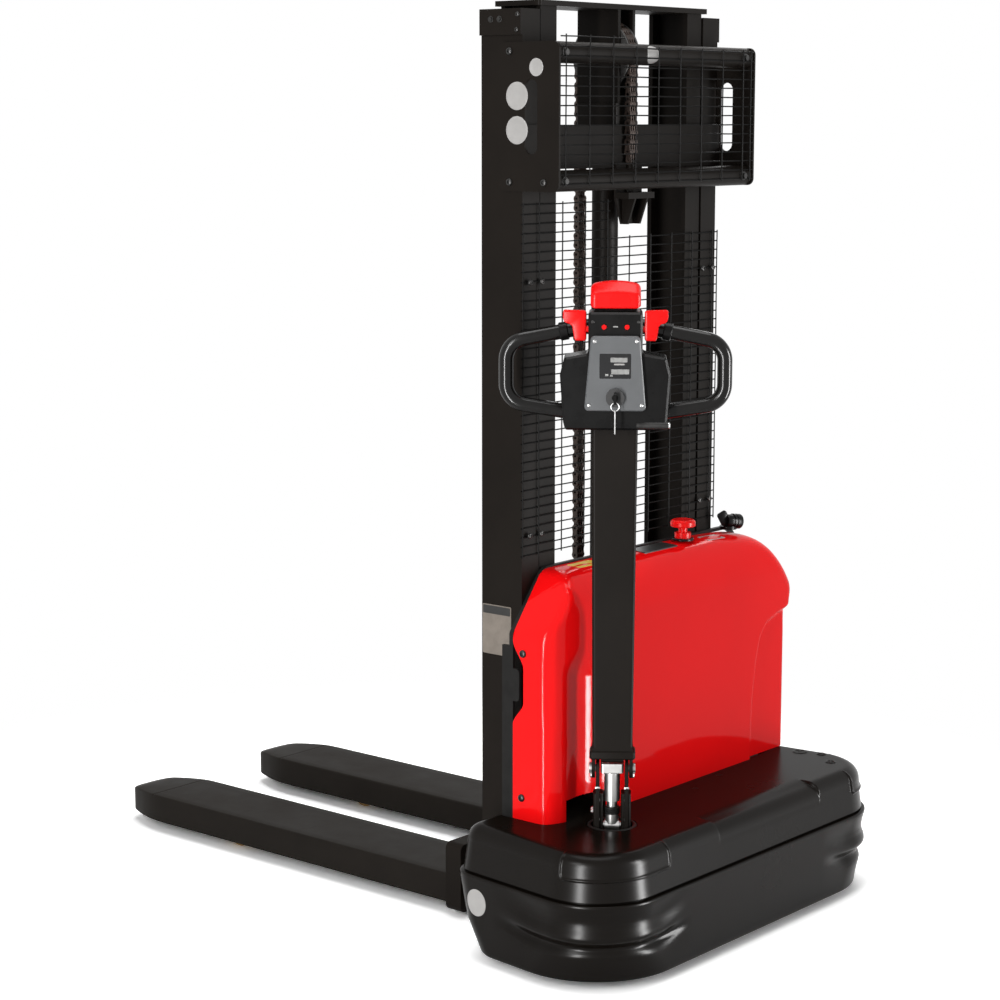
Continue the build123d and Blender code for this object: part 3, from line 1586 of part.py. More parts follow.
# Ignition key with a bow, and the spare key hanging from it on a ring
switch_front = head_front + panel_thick + switch_proud
ring_y = -switch_front - key_bow_long / 2
ring_z = switch_z - key_bow_r + ring_hole_r - ring_r + ring_wire
with BuildPart() as key:
    with BuildSketch(steered(Plane.XZ.offset(head_front + panel_thick))):
        with Locations((0, switch_z)):
            Circle(key_r)
    extrude(amount=switch_proud)
    with BuildSketch(steered(Plane.YZ)):
        with Locations((-switch_front - key_bow_long / 2, switch_z)):
            RectangleRounded(key_bow_long, 2 * key_bow_r, key_r)
        with Locations((ring_y, ring_z + ring_r)):
            Circle(ring_hole_r, mode=Mode.SUBTRACT)
    extrude(amount=key_bow_thick / 2, both=True)
finish(key, "key")

spare_top = ring_z - ring_r + ring_hole_r
with BuildPart() as key_ring:
    with BuildSketch(steered(Plane((0, ring_y, ring_z), x_dir=(1, 0, 0), z_dir=(0, 0, 1)))):
        with Locations((ring_r, 0)):
            Circle(ring_wire)
    revolve(axis=Axis((steer_frame * Pos(0, ring_y, ring_z)).position, steered(Plane.XZ).z_dir))
    with BuildSketch(steered(Plane.YZ)):
        with Locations((ring_y, spare_top - spare_key_long / 2)):
            RectangleRounded(spare_key_wide, spare_key_long, spare_key_wide / 3)
    extrude(amount=spare_key_thick / 2, both=True)
finish(key_ring, "key_ring")

# Emergency stop: collar on the hood, mushroom head on a sliding stem
stop_spot = Pos(stop_x, stop_y, hood_top)
with BuildPart() as estop_collar:
    with BuildSketch(Plane(stop_spot)):
        Circle(stop_collar_r)
        Circle(stop_stem_r + run_gap, mode=Mode.SUBTRACT)
    extrude(amount=stop_collar_tall)
finish(estop_collar, "estop_collar")

stop_head_low = stop_collar_tall + stop_rise
with BuildPart() as estop_button:
    with BuildSketch(Plane(stop_spot).offset(stop_travel)):
        Circle(stop_stem_r)
    extrude(amount=stop_head_low - stop_travel)
    with BuildSketch(Plane(stop_spot).offset(stop_head_low)):
        Circle(stop_head_r)
    extrude(amount=stop_head_tall)
    fillet(estop_button.edges().group_by(Axis.Z)[-1], stop_head_tall / 2)
    rims = estop_button.edges().filter_by(GeomType.CIRCLE).filter_by(lambda e: e.radius == stop_head_r)
    fillet(rims.sort_by(Axis.Z)[0], stop_head_tall / 5)
finish(estop_button, "estop_button")

# Charging socket with a screw cap and thumb wing
charge_spot = Pos(charge_x, charge_y, hood_top)
with BuildPart() as charger_socket:
    with BuildSketch(Plane(charge_spot)):
        Circle(charge_ring_r)
        Circle(charge_spigot_r + run_gap, mode=Mode.SUBTRACT)
    extrude(amount=charge_ring_tall)
finish(charger_socket, "charger_socket")

with BuildPart() as charger_cap:
    with BuildSketch(Plane(charge_spot).offset(slide_gap)):
        Circle(charge_spigot_r)
    extrude(amount=charge_ring_tall)
    with BuildSketch(Plane(charge_spot).offset(charge_ring_tall + slide_gap)):
        Circle(charge_cap_r)
    extrude(amount=charge_cap_tall - charge_ring_tall - slide_gap)
    chamfer(charger_cap.edges().group_by(Axis.Z)[-1], slide_gap * 4)
    with BuildSketch(Plane(charge_spot).offset(charge_cap_tall - charge_wing_tall)):
        with Locations((-charge_wing_reach / 2, 0)):
            RectangleRounded(charge_wing_reach, charge_wing_thick, charge_wing_thick / 3)
    extrude(amount=charge_wing_tall + charge_wing_thick)
finish(charger_cap, "charger_cap")

# Caster: swivelling fork with a kingpin through the deck, and its wheel
caster_top = deck_bottom - free_gap
axle_y = steer_y - caster_trail
cheek_in = caster_wide / 2 + caster_side_gap
with BuildPart() as caster_fork:
    with BuildSketch(Plane.XY.offset(caster_top)):
        with Locations((caster_x, steer_y)):
            Circle(caster_pin_r - run_gap)
    extrude(amount=deck_thick + free_gap)
    with BuildSketch(Plane.XY.offset(caster_top - caster_plate_thick)):
        with Locations((caster_x, steer_y)):
            Circle(caster_plate_r)
    extrude(amount=caster_plate_thick)
    for side, name in sides:
        with BuildSketch(Plane.YZ.offset(caster_x + side * cheek_in)):
            with BuildLine():
                Polyline(
                    (steer_y - caster_plate_r / 2, caster_top - caster_plate_thick),
                    (steer_y + caster_plate_r / 2, caster_top - caster_plate_thick),
                    (axle_y + 2 * caster_axle_r, caster_r),
                    (axle_y + caster_axle_r, caster_r - 2 * caster_axle_r),
                    (axle_y - caster_axle_r, caster_r - 2 * caster_axle_r),
                    (axle_y - 2 * caster_axle_r, caster_r),
                    close=True,
                )
            make_face()
        extrude(amount=side * caster_cheek)
    with BuildSketch(Plane.YZ.offset(caster_x)):
        with Locations((axle_y, caster_r)):
            Circle(caster_axle_r)
    extrude(amount=cheek_in, both=True)
finish(caster_fork, "caster_fork")

with BuildPart() as caster_wheel:
    with BuildSketch(Plane.YZ.offset(caster_x)):
        with Locations((axle_y, caster_r)):
            Circle(caster_r)
            Circle(caster_axle_r + run_gap, mode=Mode.SUBTRACT)
    extrude(amount=caster_wide / 2, both=True)
finish(caster_wheel, "caster_wheel")
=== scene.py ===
import math
import bmesh
import bpy
import numpy as np
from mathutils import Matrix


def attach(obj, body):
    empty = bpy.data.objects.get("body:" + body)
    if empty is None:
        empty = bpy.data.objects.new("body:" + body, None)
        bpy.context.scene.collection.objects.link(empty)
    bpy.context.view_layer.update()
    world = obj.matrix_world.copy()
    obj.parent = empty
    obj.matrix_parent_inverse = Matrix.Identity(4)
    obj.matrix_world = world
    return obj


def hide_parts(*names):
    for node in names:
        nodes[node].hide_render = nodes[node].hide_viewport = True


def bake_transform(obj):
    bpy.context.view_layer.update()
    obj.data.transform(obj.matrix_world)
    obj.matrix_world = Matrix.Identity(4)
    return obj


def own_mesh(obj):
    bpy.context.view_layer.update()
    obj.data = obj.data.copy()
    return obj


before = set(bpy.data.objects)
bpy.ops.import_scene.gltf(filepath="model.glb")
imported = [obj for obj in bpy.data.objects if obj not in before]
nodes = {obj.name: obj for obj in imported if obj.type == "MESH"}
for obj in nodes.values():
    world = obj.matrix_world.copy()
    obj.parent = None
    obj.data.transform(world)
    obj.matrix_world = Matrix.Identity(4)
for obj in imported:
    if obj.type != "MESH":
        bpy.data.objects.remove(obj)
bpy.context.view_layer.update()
print("frame loaded:", len(nodes), "pieces")

# where the tiller stands and how far it is turned at rest
tiller = dict(x=-0.259, y=-0.617, turn=math.radians(-52.7))
tillerRight = np.array([math.cos(tiller["turn"]), math.sin(tiller["turn"]), 0.0])
tillerAway = np.array([-math.sin(tiller["turn"]), math.cos(tiller["turn"]), 0.0])
upward = np.array([0.0, 0.0, 1.0])


def fromTiller(points):
    # points given as right, away and up from the steering axis, in metres
    points = np.atleast_2d(np.asarray(points, float))
    place = points[:, :1] * tillerRight + points[:, 1:2] * tillerAway
    place[:, 0] += tiller["x"]
    place[:, 1] += tiller["y"]
    place[:, 2] = points[:, 2]
    return place


def tillerSpot(right, away, up):
    return fromTiller((right, away, up))[0]


# shader groups shared by several finishes, with each noise's detail and roughness
noiseSpan = (0.3, 0.7)  # most values of a noise lie in here
noises = dict(cloud=(4.0, 0.6), skin=(2.0, 0.5), speck=(5.0, 0.65))


def newGroup(name, inputs, outputs):
    group = bpy.data.node_groups.new(name, "ShaderNodeTree")
    for label, kind, value in inputs:
        socket = group.interface.new_socket(label, in_out="INPUT", socket_type="NodeSocket" + kind)
        socket.default_value = value
    for label, kind in outputs:
        group.interface.new_socket(label, in_out="OUTPUT", socket_type="NodeSocket" + kind)
    return group, group.nodes.new("NodeGroupInput"), group.nodes.new("NodeGroupOutput")


def link(tree, source, target):
    tree.links.new(source, target)


def setOrLink(tree, socket, value):
    if isinstance(value, (int, float)):
        socket.default_value = value
    elif isinstance(value, tuple):
        socket.default_value = (*value, 1.0) if len(socket.default_value) == 4 else value
    else:
        link(tree, value, socket)


def objectPlace(tree):
    return tree.nodes.new("ShaderNodeTexCoord").outputs["Object"]


def mathNode(tree, operation, first, second):
    node = tree.nodes.new("ShaderNodeMath")
    node.operation = operation
    setOrLink(tree, node.inputs[0], first)
    setOrLink(tree, node.inputs[1], second)
    return node.outputs[0]


def mixColour(tree, factor, first, second):
    node = tree.nodes.new("ShaderNodeMix")
    node.data_type = "RGBA"
    for slot, value in ((0, factor), (6, first), (7, second)):
        setOrLink(tree, node.inputs[slot], value)
    return node.outputs[2]


def noiseNode(tree, where, scale, detail, rough):
    node = tree.nodes.new("ShaderNodeTexNoise")
    for label, value in (("Vector", where), ("Scale", scale), ("Detail", detail), ("Roughness", rough)):
        setOrLink(tree, node.inputs[label], value)
    return node.outputs["Fac"]


def rangeNode(tree, value, fromLow, fromHigh, low, high, smooth=False):
    node = tree.nodes.new("ShaderNodeMapRange")
    node.interpolation_type = "SMOOTHSTEP" if smooth else "LINEAR"
    for slot, given in enumerate((value, fromLow, fromHigh, low, high)):
        setOrLink(tree, node.inputs[slot], given)
    return node.outputs[0]


def makeMottle():
    # soft cloudy change of colour and gloss, plus a fine skin for the bump
    group, given, made = newGroup(
        "mottle",
        [("Colour", "Color", (0.5, 0.5, 0.5, 1)), ("Shade", "Float", 0.15), ("Cloud Scale", "Float", 6.0),
         ("Gloss Low", "Float", 0.35), ("Gloss High", "Float", 0.5), ("Skin Scale", "Float", 900.0)],
        [("Colour", "Color"), ("Roughness", "Float"), ("Skin", "Float")])
    given, where = given.outputs, objectPlace(group)
    cloud = noiseNode(group, where, given["Cloud Scale"], *noises["cloud"])
    dark = mixColour(group, given["Shade"], given["Colour"], (0.0, 0.0, 0.0))
    tone = mixColour(group, rangeNode(group, cloud, *noiseSpan, 0.0, 1.0), dark, given["Colour"])
    gloss = rangeNode(group, cloud, *noiseSpan, given["Gloss Low"], given["Gloss High"])
    fine = noiseNode(group, where, given["Skin Scale"], *noises["skin"])
    for label, source in (("Colour", tone), ("Roughness", gloss), ("Skin", fine)):
        link(group, source, made.inputs[label])
    return group


dustLook = dict(scale=18.0, colour=(0.3, 0.28, 0.26), steep=3.0, thin=0.25)


def makeDust():
    # faces turned upwards, and the pale dust that settles there, broken up by noise
    group, given, made = newGroup("dust", [("Amount", "Float", 0.2), ("Scale", "Float", 25.0)],
                                  [("Mask", "Float"), ("Upward", "Float")])
    parts = group.nodes.new("ShaderNodeSeparateXYZ")
    link(group, group.nodes.new("ShaderNodeNewGeometry").outputs["Normal"], parts.inputs[0])
    up = mathNode(group, "POWER", mathNode(group, "MAXIMUM", parts.outputs[2], 0.0), dustLook["steep"])
    speck = noiseNode(group, objectPlace(group), given.outputs["Scale"], *noises["speck"])
    patch = mathNode(group, "MULTIPLY", up, rangeNode(group, speck, *noiseSpan, dustLook["thin"], 1.0))
    link(group, mathNode(group, "MULTIPLY", patch, given.outputs["Amount"]), made.inputs["Mask"])
    link(group, up, made.inputs["Upward"])
    return group


def makeReach():
    # mask that rises from 0 to 1 between two distances along a direction
    group, given, made = newGroup(
        "reach", [("Direction", "Vector", (0, 1, 0)), ("Start", "Float", 0.0), ("End", "Float", 1.0)],
        [("Mask", "Float")])
    along = group.nodes.new("ShaderNodeVectorMath")
    along.operation = "DOT_PRODUCT"
    link(group, objectPlace(group), along.inputs[0])
    link(group, given.outputs["Direction"], along.inputs[1])
    mask = rangeNode(group, along.outputs["Value"], given.outputs["Start"], given.outputs["End"], 0.0, 1.0, True)
    link(group, mask, made.inputs["Mask"])
    return group


groups = dict(mottle=makeMottle(), dust=makeDust(), reach=makeReach())


def placeGroup(tree, name, **values):
    node = tree.nodes.new("ShaderNodeGroup")
    node.node_tree = groups[name]
    for label, value in values.items():
        setOrLink(tree, node.inputs[label.replace("_", " ")], value)
    return node


# the key switch's boss is the black part of the panel that stands nearest the operator
panelBoss = dict(start=0.0572, end=0.0576, axis=float(np.dot(tillerAway[:2], (tiller["x"], tiller["y"]))))
bumpHeight = 0.001
# what a finish has unless it says otherwise
plainFinish = dict(dust=0.0, specular=0.5, metal=0.0, ior=1.45, coat=0.0, coatGloss=0.05)
finishes = dict(
    mastPaint=dict(colour=(0.0096, 0.0074, 0.0058), shade=0.3, cloud=5.0, gloss=(0.4, 0.52), skin=650.0,
                   bump=0.05, dust=0.004, ior=1.14, topSheen=0.3, slot="black_paint"),
    forkPaint=dict(colour=(0.0125, 0.0102, 0.0082), shade=0.3, cloud=7.0, gloss=(0.42, 0.56), skin=500.0,
                   bump=0.06, dust=0.012, ior=1.14, topSheen=0.5, slot="black_paint",
                   beyond=dict(direction=(0, 1, 0), start=0.75, end=0.80, colour=(0.13, 0.122, 0.108))),
    wireCoat=dict(colour=(0.006, 0.0057, 0.0055), shade=0.2, cloud=20.0, gloss=(0.4, 0.5), skin=900.0,
                  bump=0.02, ior=1.12, slot="black_wire"),
    baseMoulding=dict(colour=(0.0044, 0.0031, 0.0021), shade=0.25, cloud=4.0, gloss=(0.23, 0.28), skin=1500.0,
                      bump=0.008, dust=0.002, ior=1.225, topSheen=0.2, slot="black_moulding"),
    hoodRed=dict(colour=(0.84, 0.004, 0.005), shade=0.05, cloud=3.0, gloss=(0.16, 0.2), skin=180.0, bump=0.005,
                 ior=1.06, coat=0.26, slot="red_moulding"),
    controlRed=dict(colour=(0.84, 0.007, 0.007), shade=0.08, cloud=30.0, gloss=(0.24, 0.32), skin=1200.0,
                    bump=0.02, ior=1.22, slot="red_button"),
    sealRubber=dict(colour=(0.013, 0.0125, 0.012), shade=0.3, cloud=40.0, gloss=(0.45, 0.58), skin=1500.0,
                    bump=0.06, dust=0.01, ior=1.18, slot="black_seal"),
    gripCoat=dict(colour=(0.0078, 0.0073, 0.0068), shade=0.25, cloud=25.0, gloss=(0.15, 0.2), skin=1800.0,
                  bump=0.0, ior=1.3, slot="black_grip"),
    headPlastic=dict(colour=(0.0058, 0.0056, 0.0055), shade=0.2, cloud=20.0, gloss=(0.24, 0.32), skin=2200.0,
                     bump=0.03, dust=0.002, ior=1.2, slot="grey_head"),
    panelGrey=dict(colour=(0.088, 0.092, 0.096), shade=0.1, cloud=30.0, gloss=(0.42, 0.5), skin=2500.0,
                   bump=0.05, specular=0.4, slot="panel_face",
                   beyond=dict(direction=tuple(-tillerAway), start=panelBoss["start"] - panelBoss["axis"],
                               end=panelBoss["end"] - panelBoss["axis"], colour=(0.011, 0.0105, 0.0105))),
    screenBlack=dict(colour=(0.008, 0.008, 0.009), shade=0.1, cloud=30.0, gloss=(0.12, 0.16), skin=300.0,
                     bump=0.0, slot="screen"),
    chrome=dict(colour=(0.56, 0.555, 0.55), shade=0.08, cloud=40.0, gloss=(0.16, 0.22), skin=2000.0, bump=0.01,
                metal=1.0, slot="chrome_plate"),
    springSteel=dict(colour=(0.4, 0.395, 0.387), shade=0.1, cloud=60.0, gloss=(0.34, 0.4), skin=2000.0,
                     bump=0.01, metal=1.0, slot="chrome_plate"),
    bareSteel=dict(colour=(0.46, 0.455, 0.45), shade=0.25, cloud=60.0, gloss=(0.25, 0.4), skin=1800.0, bump=0.03,
                   metal=1.0, slot="bare_steel"),
    boltBlack=dict(colour=(0.03, 0.029, 0.028), shade=0.3, cloud=80.0, gloss=(0.28, 0.4), skin=1500.0, bump=0.03,
                   metal=0.55, slot="black_paint"),
    chainSteel=dict(colour=(0.075, 0.052, 0.042), shade=0.5, cloud=110.0, gloss=(0.36, 0.55), skin=900.0,
                    bump=0.1, specular=0.4, metal=0.35, slot="greased_steel"),
    castIron=dict(colour=(0.06, 0.058, 0.056), shade=0.3, cloud=40.0, gloss=(0.45, 0.62), skin=700.0, bump=0.12,
                  specular=0.4, metal=0.5, slot="cast_grey"),
    motorCase=dict(colour=(0.4, 0.4, 0.41), shade=0.2, cloud=40.0, gloss=(0.4, 0.55), skin=900.0, bump=0.1,
                   metal=0.9, slot="motor_case"),
    treadDark=dict(colour=(0.028, 0.026, 0.024), shade=0.35, cloud=30.0, gloss=(0.5, 0.68), skin=700.0, bump=0.1,
                   dust=0.03, specular=0.35, slot="tread"),
    rollerAmber=dict(colour=(0.42, 0.25, 0.08), shade=0.3, cloud=35.0, gloss=(0.4, 0.55), skin=800.0, bump=0.06,
                     specular=0.4, slot="roller_tread"),
    batteryCase=dict(colour=(0.025, 0.025, 0.027), shade=0.2, cloud=20.0, gloss=(0.45, 0.6), skin=1200.0,
                     bump=0.06, dust=0.1, specular=0.4, slot="battery_case"),
    pumpPaint=dict(colour=(0.08, 0.08, 0.085), shade=0.2, cloud=20.0, gloss=(0.4, 0.55), skin=700.0, bump=0.05,
                   dust=0.1, specular=0.4, slot="pump_paint"),
    plateSilver=dict(colour=(0.2, 0.172, 0.145), shade=0.2, cloud=50.0, gloss=(0.35, 0.48), skin=2500.0,
                     bump=0.02, specular=0.45, metal=0.3, slot="bare_steel"),
    plateDark=dict(colour=(0.02, 0.0195, 0.019), shade=0.2, cloud=60.0, gloss=(0.3, 0.4), skin=2000.0, bump=0.02,
                   specular=0.45, slot="black_moulding"),
    discWhite=dict(colour=(0.36, 0.35, 0.34), shade=0.08, cloud=60.0, gloss=(0.35, 0.45), skin=1500.0, bump=0.01,
                   specular=0.45, slot="chrome_plate"),
    padYellow=dict(colour=(0.72, 0.47, 0.02), shade=0.08, cloud=60.0, gloss=(0.35, 0.45), skin=1500.0, bump=0.01,
                   specular=0.45, slot="roller_tread"),
    screenBar=dict(colour=(0.34, 0.34, 0.33), shade=0.3, cloud=160.0, gloss=(0.25, 0.35), skin=1500.0, bump=0.01,
                   specular=0.45, slot="screen"),
)


def makeFinish(name):
    look = {**plainFinish, **finishes[name]}
    low, high = look["gloss"]
    material = bpy.data.materials.new(name)
    material.use_nodes = True
    tree = material.node_tree
    surface = tree.nodes["Principled BSDF"]
    mottle = placeGroup(tree, "mottle", Colour=look["colour"], Shade=look["shade"], Cloud_Scale=look["cloud"],
                        Gloss_Low=low, Gloss_High=high, Skin_Scale=look["skin"])
    colour = mottle.outputs["Colour"]
    if "beyond" in look:  # another tone from a distance on
        beyond = look["beyond"]
        reach = placeGroup(tree, "reach", Direction=beyond["direction"], Start=beyond["start"], End=beyond["end"])
        colour = mixColour(tree, reach.outputs["Mask"], colour, beyond["colour"])
    if look["dust"] > 0:
        dust = placeGroup(tree, "dust", Amount=look["dust"], Scale=dustLook["scale"])
        colour = mixColour(tree, dust.outputs["Mask"], colour, dustLook["colour"])
    values = {"Base Color": colour, "Roughness": mottle.outputs["Roughness"], "Metallic": look["metal"],
              "IOR": look["ior"], "Specular IOR Level": look["specular"], "Coat Weight": look["coat"],
              "Coat Roughness": look["coatGloss"]}
    if "topSheen" in look:  # most of the gloss is a thin coat that level faces lack
        share = look["topSheen"]
        values["Specular IOR Level"] = look["specular"] * share
        values["Coat Weight"] = rangeNode(tree, dust.outputs["Upward"], 0.0, 1.0, 1.0 - share, 0.0)
        values["Coat Roughness"] = (low + high) / 2
        values["Coat IOR"] = look["ior"]
    if look["bump"] > 0:
        bump = tree.nodes.new("ShaderNodeBump")
        bump.inputs["Strength"].default_value = look["bump"]
        bump.inputs["Distance"].default_value = bumpHeight
        link(tree, mottle.outputs["Skin"], bump.inputs["Height"])
        values["Normal"] = bump.outputs["Normal"]
    for label, value in values.items():
        setOrLink(tree, surface.inputs[label], value)
    return material


paints = {name: makeFinish(name) for name in finishes}
wearers = dict(
    mastPaint="chassis_frame outer_upright_left outer_upright_right upper_crossbeam lift_cylinder guard_plates "
              "guard_tubes chain_anchor inner_upright_left inner_upright_right inner_top_plate inner_crossbar "
              "carriage_frame tiller_base drive_bracket caster_fork tiller_arm",
    forkPaint="support_legs fork_left fork_right",
    baseMoulding="base_cover base_skirt",
    hoodRed="hood",
    sealRubber="hood_seal",
    batteryCase="battery_pack",
    pumpPaint="pump_unit",
    wireCoat="guard_mesh mast_mesh",
    controlRed="estop_collar estop_button belly_switch throttle lift_button lower_button",
    headPlastic="charger_socket charger_cap head_housing key",
    bareSteel="load_axles inner_mast_rollers outer_mast_rollers carriage_rollers_upper carriage_rollers_lower "
              "gas_spring_rod key_ring",
    springSteel="pivot_pins gas_spring_tube",
    chrome="piston_rod",
    chainSteel="lift_chain",
    castIron="chain_wheel drive_wheel",
    motorCase="drive_motor",
    treadDark="drive_tyre caster_wheel",
    rollerAmber="load_roller_left load_roller_right",
    gripCoat="handle_loops",
    panelGrey="control_panel",
    screenBlack="display")
nodeFinish = {name: finish for finish, names in wearers.items() for name in names.split()}
for name, finish in nodeFinish.items():
    slots = nodes[name].data.materials
    slots.clear()
    slots.append(paints[finish])
print("finishes on", len(nodeFinish), "CAD pieces")


# shapes: each returns points and faces
def skin(rings, loop=False):
    # quads between neighbouring rings of equal length, with flat ends or closed as a loop
    rings = np.asarray(rings, float)
    count, sides = rings.shape[:2]
    here = np.arange(sides)
    beside = (here + 1) % sides
    step = np.arange(count if loop else count - 1)[:, None] * sides
    after = (step + sides) % (count * sides)
    faces = np.stack([step + here, step + beside, after + beside, after + here], -1).reshape(-1, 4).tolist()
    if not loop:
        faces += [list(range(sides))[::-1], list(range((count - 1) * sides, count * sides))]
    return rings.reshape(-1, 3), faces


def merge(shapes):
    verts, faces, start = [], [], 0
    for points, polygons in shapes:
        verts.append(points)
        faces += [[start + corner for corner in polygon] for polygon in polygons]
        start += len(points)
    return np.vstack(verts), faces


def basis(axis):
    along = np.asarray(axis, float) / np.linalg.norm(axis)
    helper = upward if abs(along[2]) < 0.9 else np.array([1.0, 0.0, 0.0])
    side = np.cross(helper, along)
    side /= np.linalg.norm(side)
    return side, np.cross(along, side), along


def wholeTurn(sides):
    return np.linspace(0, 2 * np.pi, sides, endpoint=False)


def lathe(profile, origin, axis, sides=24, loop=False):
    # circles of the given radius at the given height along an axis
    side, up, along = basis(axis)
    turn = wholeTurn(sides)[:, None]
    circle = np.cos(turn) * side + np.sin(turn) * up
    return skin([np.asarray(origin) + radius * circle + height * along for radius, height in profile], loop)


def wire(path, radius, sides=8):
    # round section carried along a path, its first side kept from twisting
    path = np.asarray(path, float)
    ahead = np.gradient(path, axis=0)
    ahead /= np.linalg.norm(ahead, axis=1, keepdims=True)
    side = basis(ahead[0])[0]
    turn = wholeTurn(sides)[:, None]
    rings = []
    for point, along in zip(path, ahead):
        side = side - along * (side @ along)
        side /= np.linalg.norm(side)
        rings.append(point + radius * (np.cos(turn) * side + np.sin(turn) * np.cross(along, side)))
    return skin(rings)


def shrink(outline, inset):
    # moves each corner inwards so that its two edges move by the inset
    ahead = np.roll(outline, -1, 0) - outline
    ahead /= np.linalg.norm(ahead, axis=1, keepdims=True)
    inward = np.stack([-ahead[:, 1], ahead[:, 0]], 1)
    total = inward + np.roll(inward, 1, 0)
    return outline + total * (2 * inset / (total ** 2).sum(1, keepdims=True))


def roundRect(wide, tall, radius, steps=5):
    # a quarter circle at each corner, counterclockwise from the upper right
    turn = np.linspace(0, np.pi / 2, steps)
    corners = []
    for quarter, (x, y) in enumerate(((1, 1), (-1, 1), (-1, -1), (1, -1))):
        angle = turn + quarter * np.pi / 2
        corners.append(np.stack([x * (wide / 2 - radius) + radius * np.cos(angle),
                                 y * (tall / 2 - radius) + radius * np.sin(angle)], 1))
    return np.vstack(corners)


def slab(outline, steps, origin, right, up, out, loop=False):
    # copies of an outline, each drawn in by an inset at a height
    rings = []
    for inset, height in steps:
        ring = shrink(outline, inset) if inset else outline
        rings.append(np.asarray(origin) + ring[:, :1] * right + ring[:, 1:] * up + height * np.asarray(out))
    return skin(rings, loop)


def plate(outline, thick, origin, right, up, out, soften=0.35):
    # a slab whose outer edge is bevelled by a share of its thickness
    return slab(outline, [(0, 0), (0, thick * (1 - soften)), (thick * soften, thick)], origin, right, up, out)


def hexBolt(origin, axis, radius):
    # washer and six-sided head, in shares of the head's radius
    washer = [(1.35 * radius, 0), (1.35 * radius, 0.16 * radius), (1.25 * radius, 0.24 * radius)]
    head = [(radius, 0.2 * radius), (radius, 0.75 * radius), (0.84 * radius, 0.92 * radius)]
    return merge([lathe(washer, origin, axis), lathe(head, origin, axis, 6)])


def domeBolt(origin, axis, radius):
    # button head with a socket, in shares of its radius
    profile = [(1, 0), (1, 0.2), (0.93, 0.42), (0.76, 0.58), (0.5, 0.66), (0.46, 0.62), (0.42, 0.34)]
    return lathe([(radius * wide, radius * tall) for wide, tall in profile], origin, axis, 20)


def show(name, data):
    thing = bpy.data.objects.new(name, data)
    bpy.context.scene.collection.objects.link(thing)
    return thing


def addMesh(name, shape, finish, body=None, sharp=35):
    mesh = bpy.data.meshes.new(name)
    verts, faces = shape
    mesh.from_pydata(np.asarray(verts).tolist(), [], faces)
    mesh.validate()
    soup = bmesh.new()
    soup.from_mesh(mesh)
    bmesh.ops.recalc_face_normals(soup, faces=soup.faces)
    soup.to_mesh(mesh)
    soup.free()
    mesh.polygons.foreach_set("use_smooth", np.ones(len(mesh.polygons), bool))
    mesh.set_sharp_from_angle(angle=math.radians(sharp))
    mesh.materials.append(paints[finish])
    piece = show(name, mesh)
    if body:
        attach(piece, body)
    return piece


# welded meshes of round wire: rows lie on the frame, columns behind the rows
mastWires = dict(radius=0.0013, left=-0.318, right=0.318, top=1.435, row=0.01805, rows=38, y=-0.4386,
                 column=0.0707, firstColumn=-0.2677, columns=9, stepX=-0.045, stepTop=1.3628, edge=0.3155)
guardWires = dict(radius=0.0013, left=-0.3125, right=0.3125, top=1.744, row=0.018, rows=16, y=-0.5276,
                  column=0.0716, firstColumn=-0.2284, columns=8, stepX=-0.12, stepTop=1.7261, edge=0.300)
# a wire's waver as its size, its pace along the wire and its shift from wire to wire
wireWaver = dict(row=(0.00025, 41, 97), column=(0.0003, 23, 61))
# points along each wire, how far columns pass the rows, how many radii they lie behind them, slack at the step
wireEnds = dict(points=24, over=0.004, behind=1.9, slack=0.001)


def waver(kind, along, across):
    size, pace, shift = wireWaver[kind]
    return size * np.sin(along * pace + across * shift)


def makeWires(name, look, node):
    radius, y = look["radius"], look["y"]
    points, over = wireEnds["points"], wireEnds["over"]
    rows = look["top"] - look["row"] * np.arange(look["rows"])
    columns = look["firstColumn"] + look["column"] * np.arange(look["columns"])
    shapes = []
    for z in rows:
        right = look["right"] if z < look["stepTop"] + wireEnds["slack"] else look["stepX"]
        along = np.linspace(look["left"], right, points)
        shapes.append(wire(np.stack([along, np.full(points, y), z + waver("row", along, z)], 1), radius))
    y -= wireEnds["behind"] * radius
    for x in (-look["edge"], *columns, look["edge"]):
        top = look["top"] if x < look["stepX"] else look["stepTop"]
        along = np.linspace(rows[-1] - over, top + over, points)
        shapes.append(wire(np.stack([x + waver("column", along, x), np.full(points, y), along], 1), radius))
    piece = addMesh(name, merge(shapes), "wireCoat", "chassis")
    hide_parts(node)


makeWires("mastWireMesh", mastWires, "mast_mesh")
makeWires("guardWireMesh", guardWires, "guard_mesh")
print("wire meshes woven")

# leaf chain: plates with two round eyes, laced in turn on pins
chain = dict(pitch=0.0185, eye=0.0074, waist=0.0055, thick=0.0028, pin=0.0026, half=0.0119, frontY=-0.328,
             rearY=-0.454, wheelY=-0.391, wheelZ=1.7145, wheelR=0.063, wheelPins=12, frontEnd=0.474, rearEnd=1.512,
             outer=(-0.0105, -0.0035, 0.0035, 0.0105), inner=(-0.007, 0.0, 0.007), soften=0.12, past=0.6,
             eyeSteps=9, pinSides=8)


def linkOutline(pitch):
    # an arc past the half circle round each pin, joined at the waist
    turn = np.linspace(-chain["past"], np.pi + chain["past"], chain["eyeSteps"])
    eye = chain["eye"] * np.stack([np.cos(turn), np.sin(turn)], 1)
    upper = eye + (0, pitch / 2)
    return np.vstack([upper, [(-chain["waist"], 0)], -upper, [(chain["waist"], 0)]])


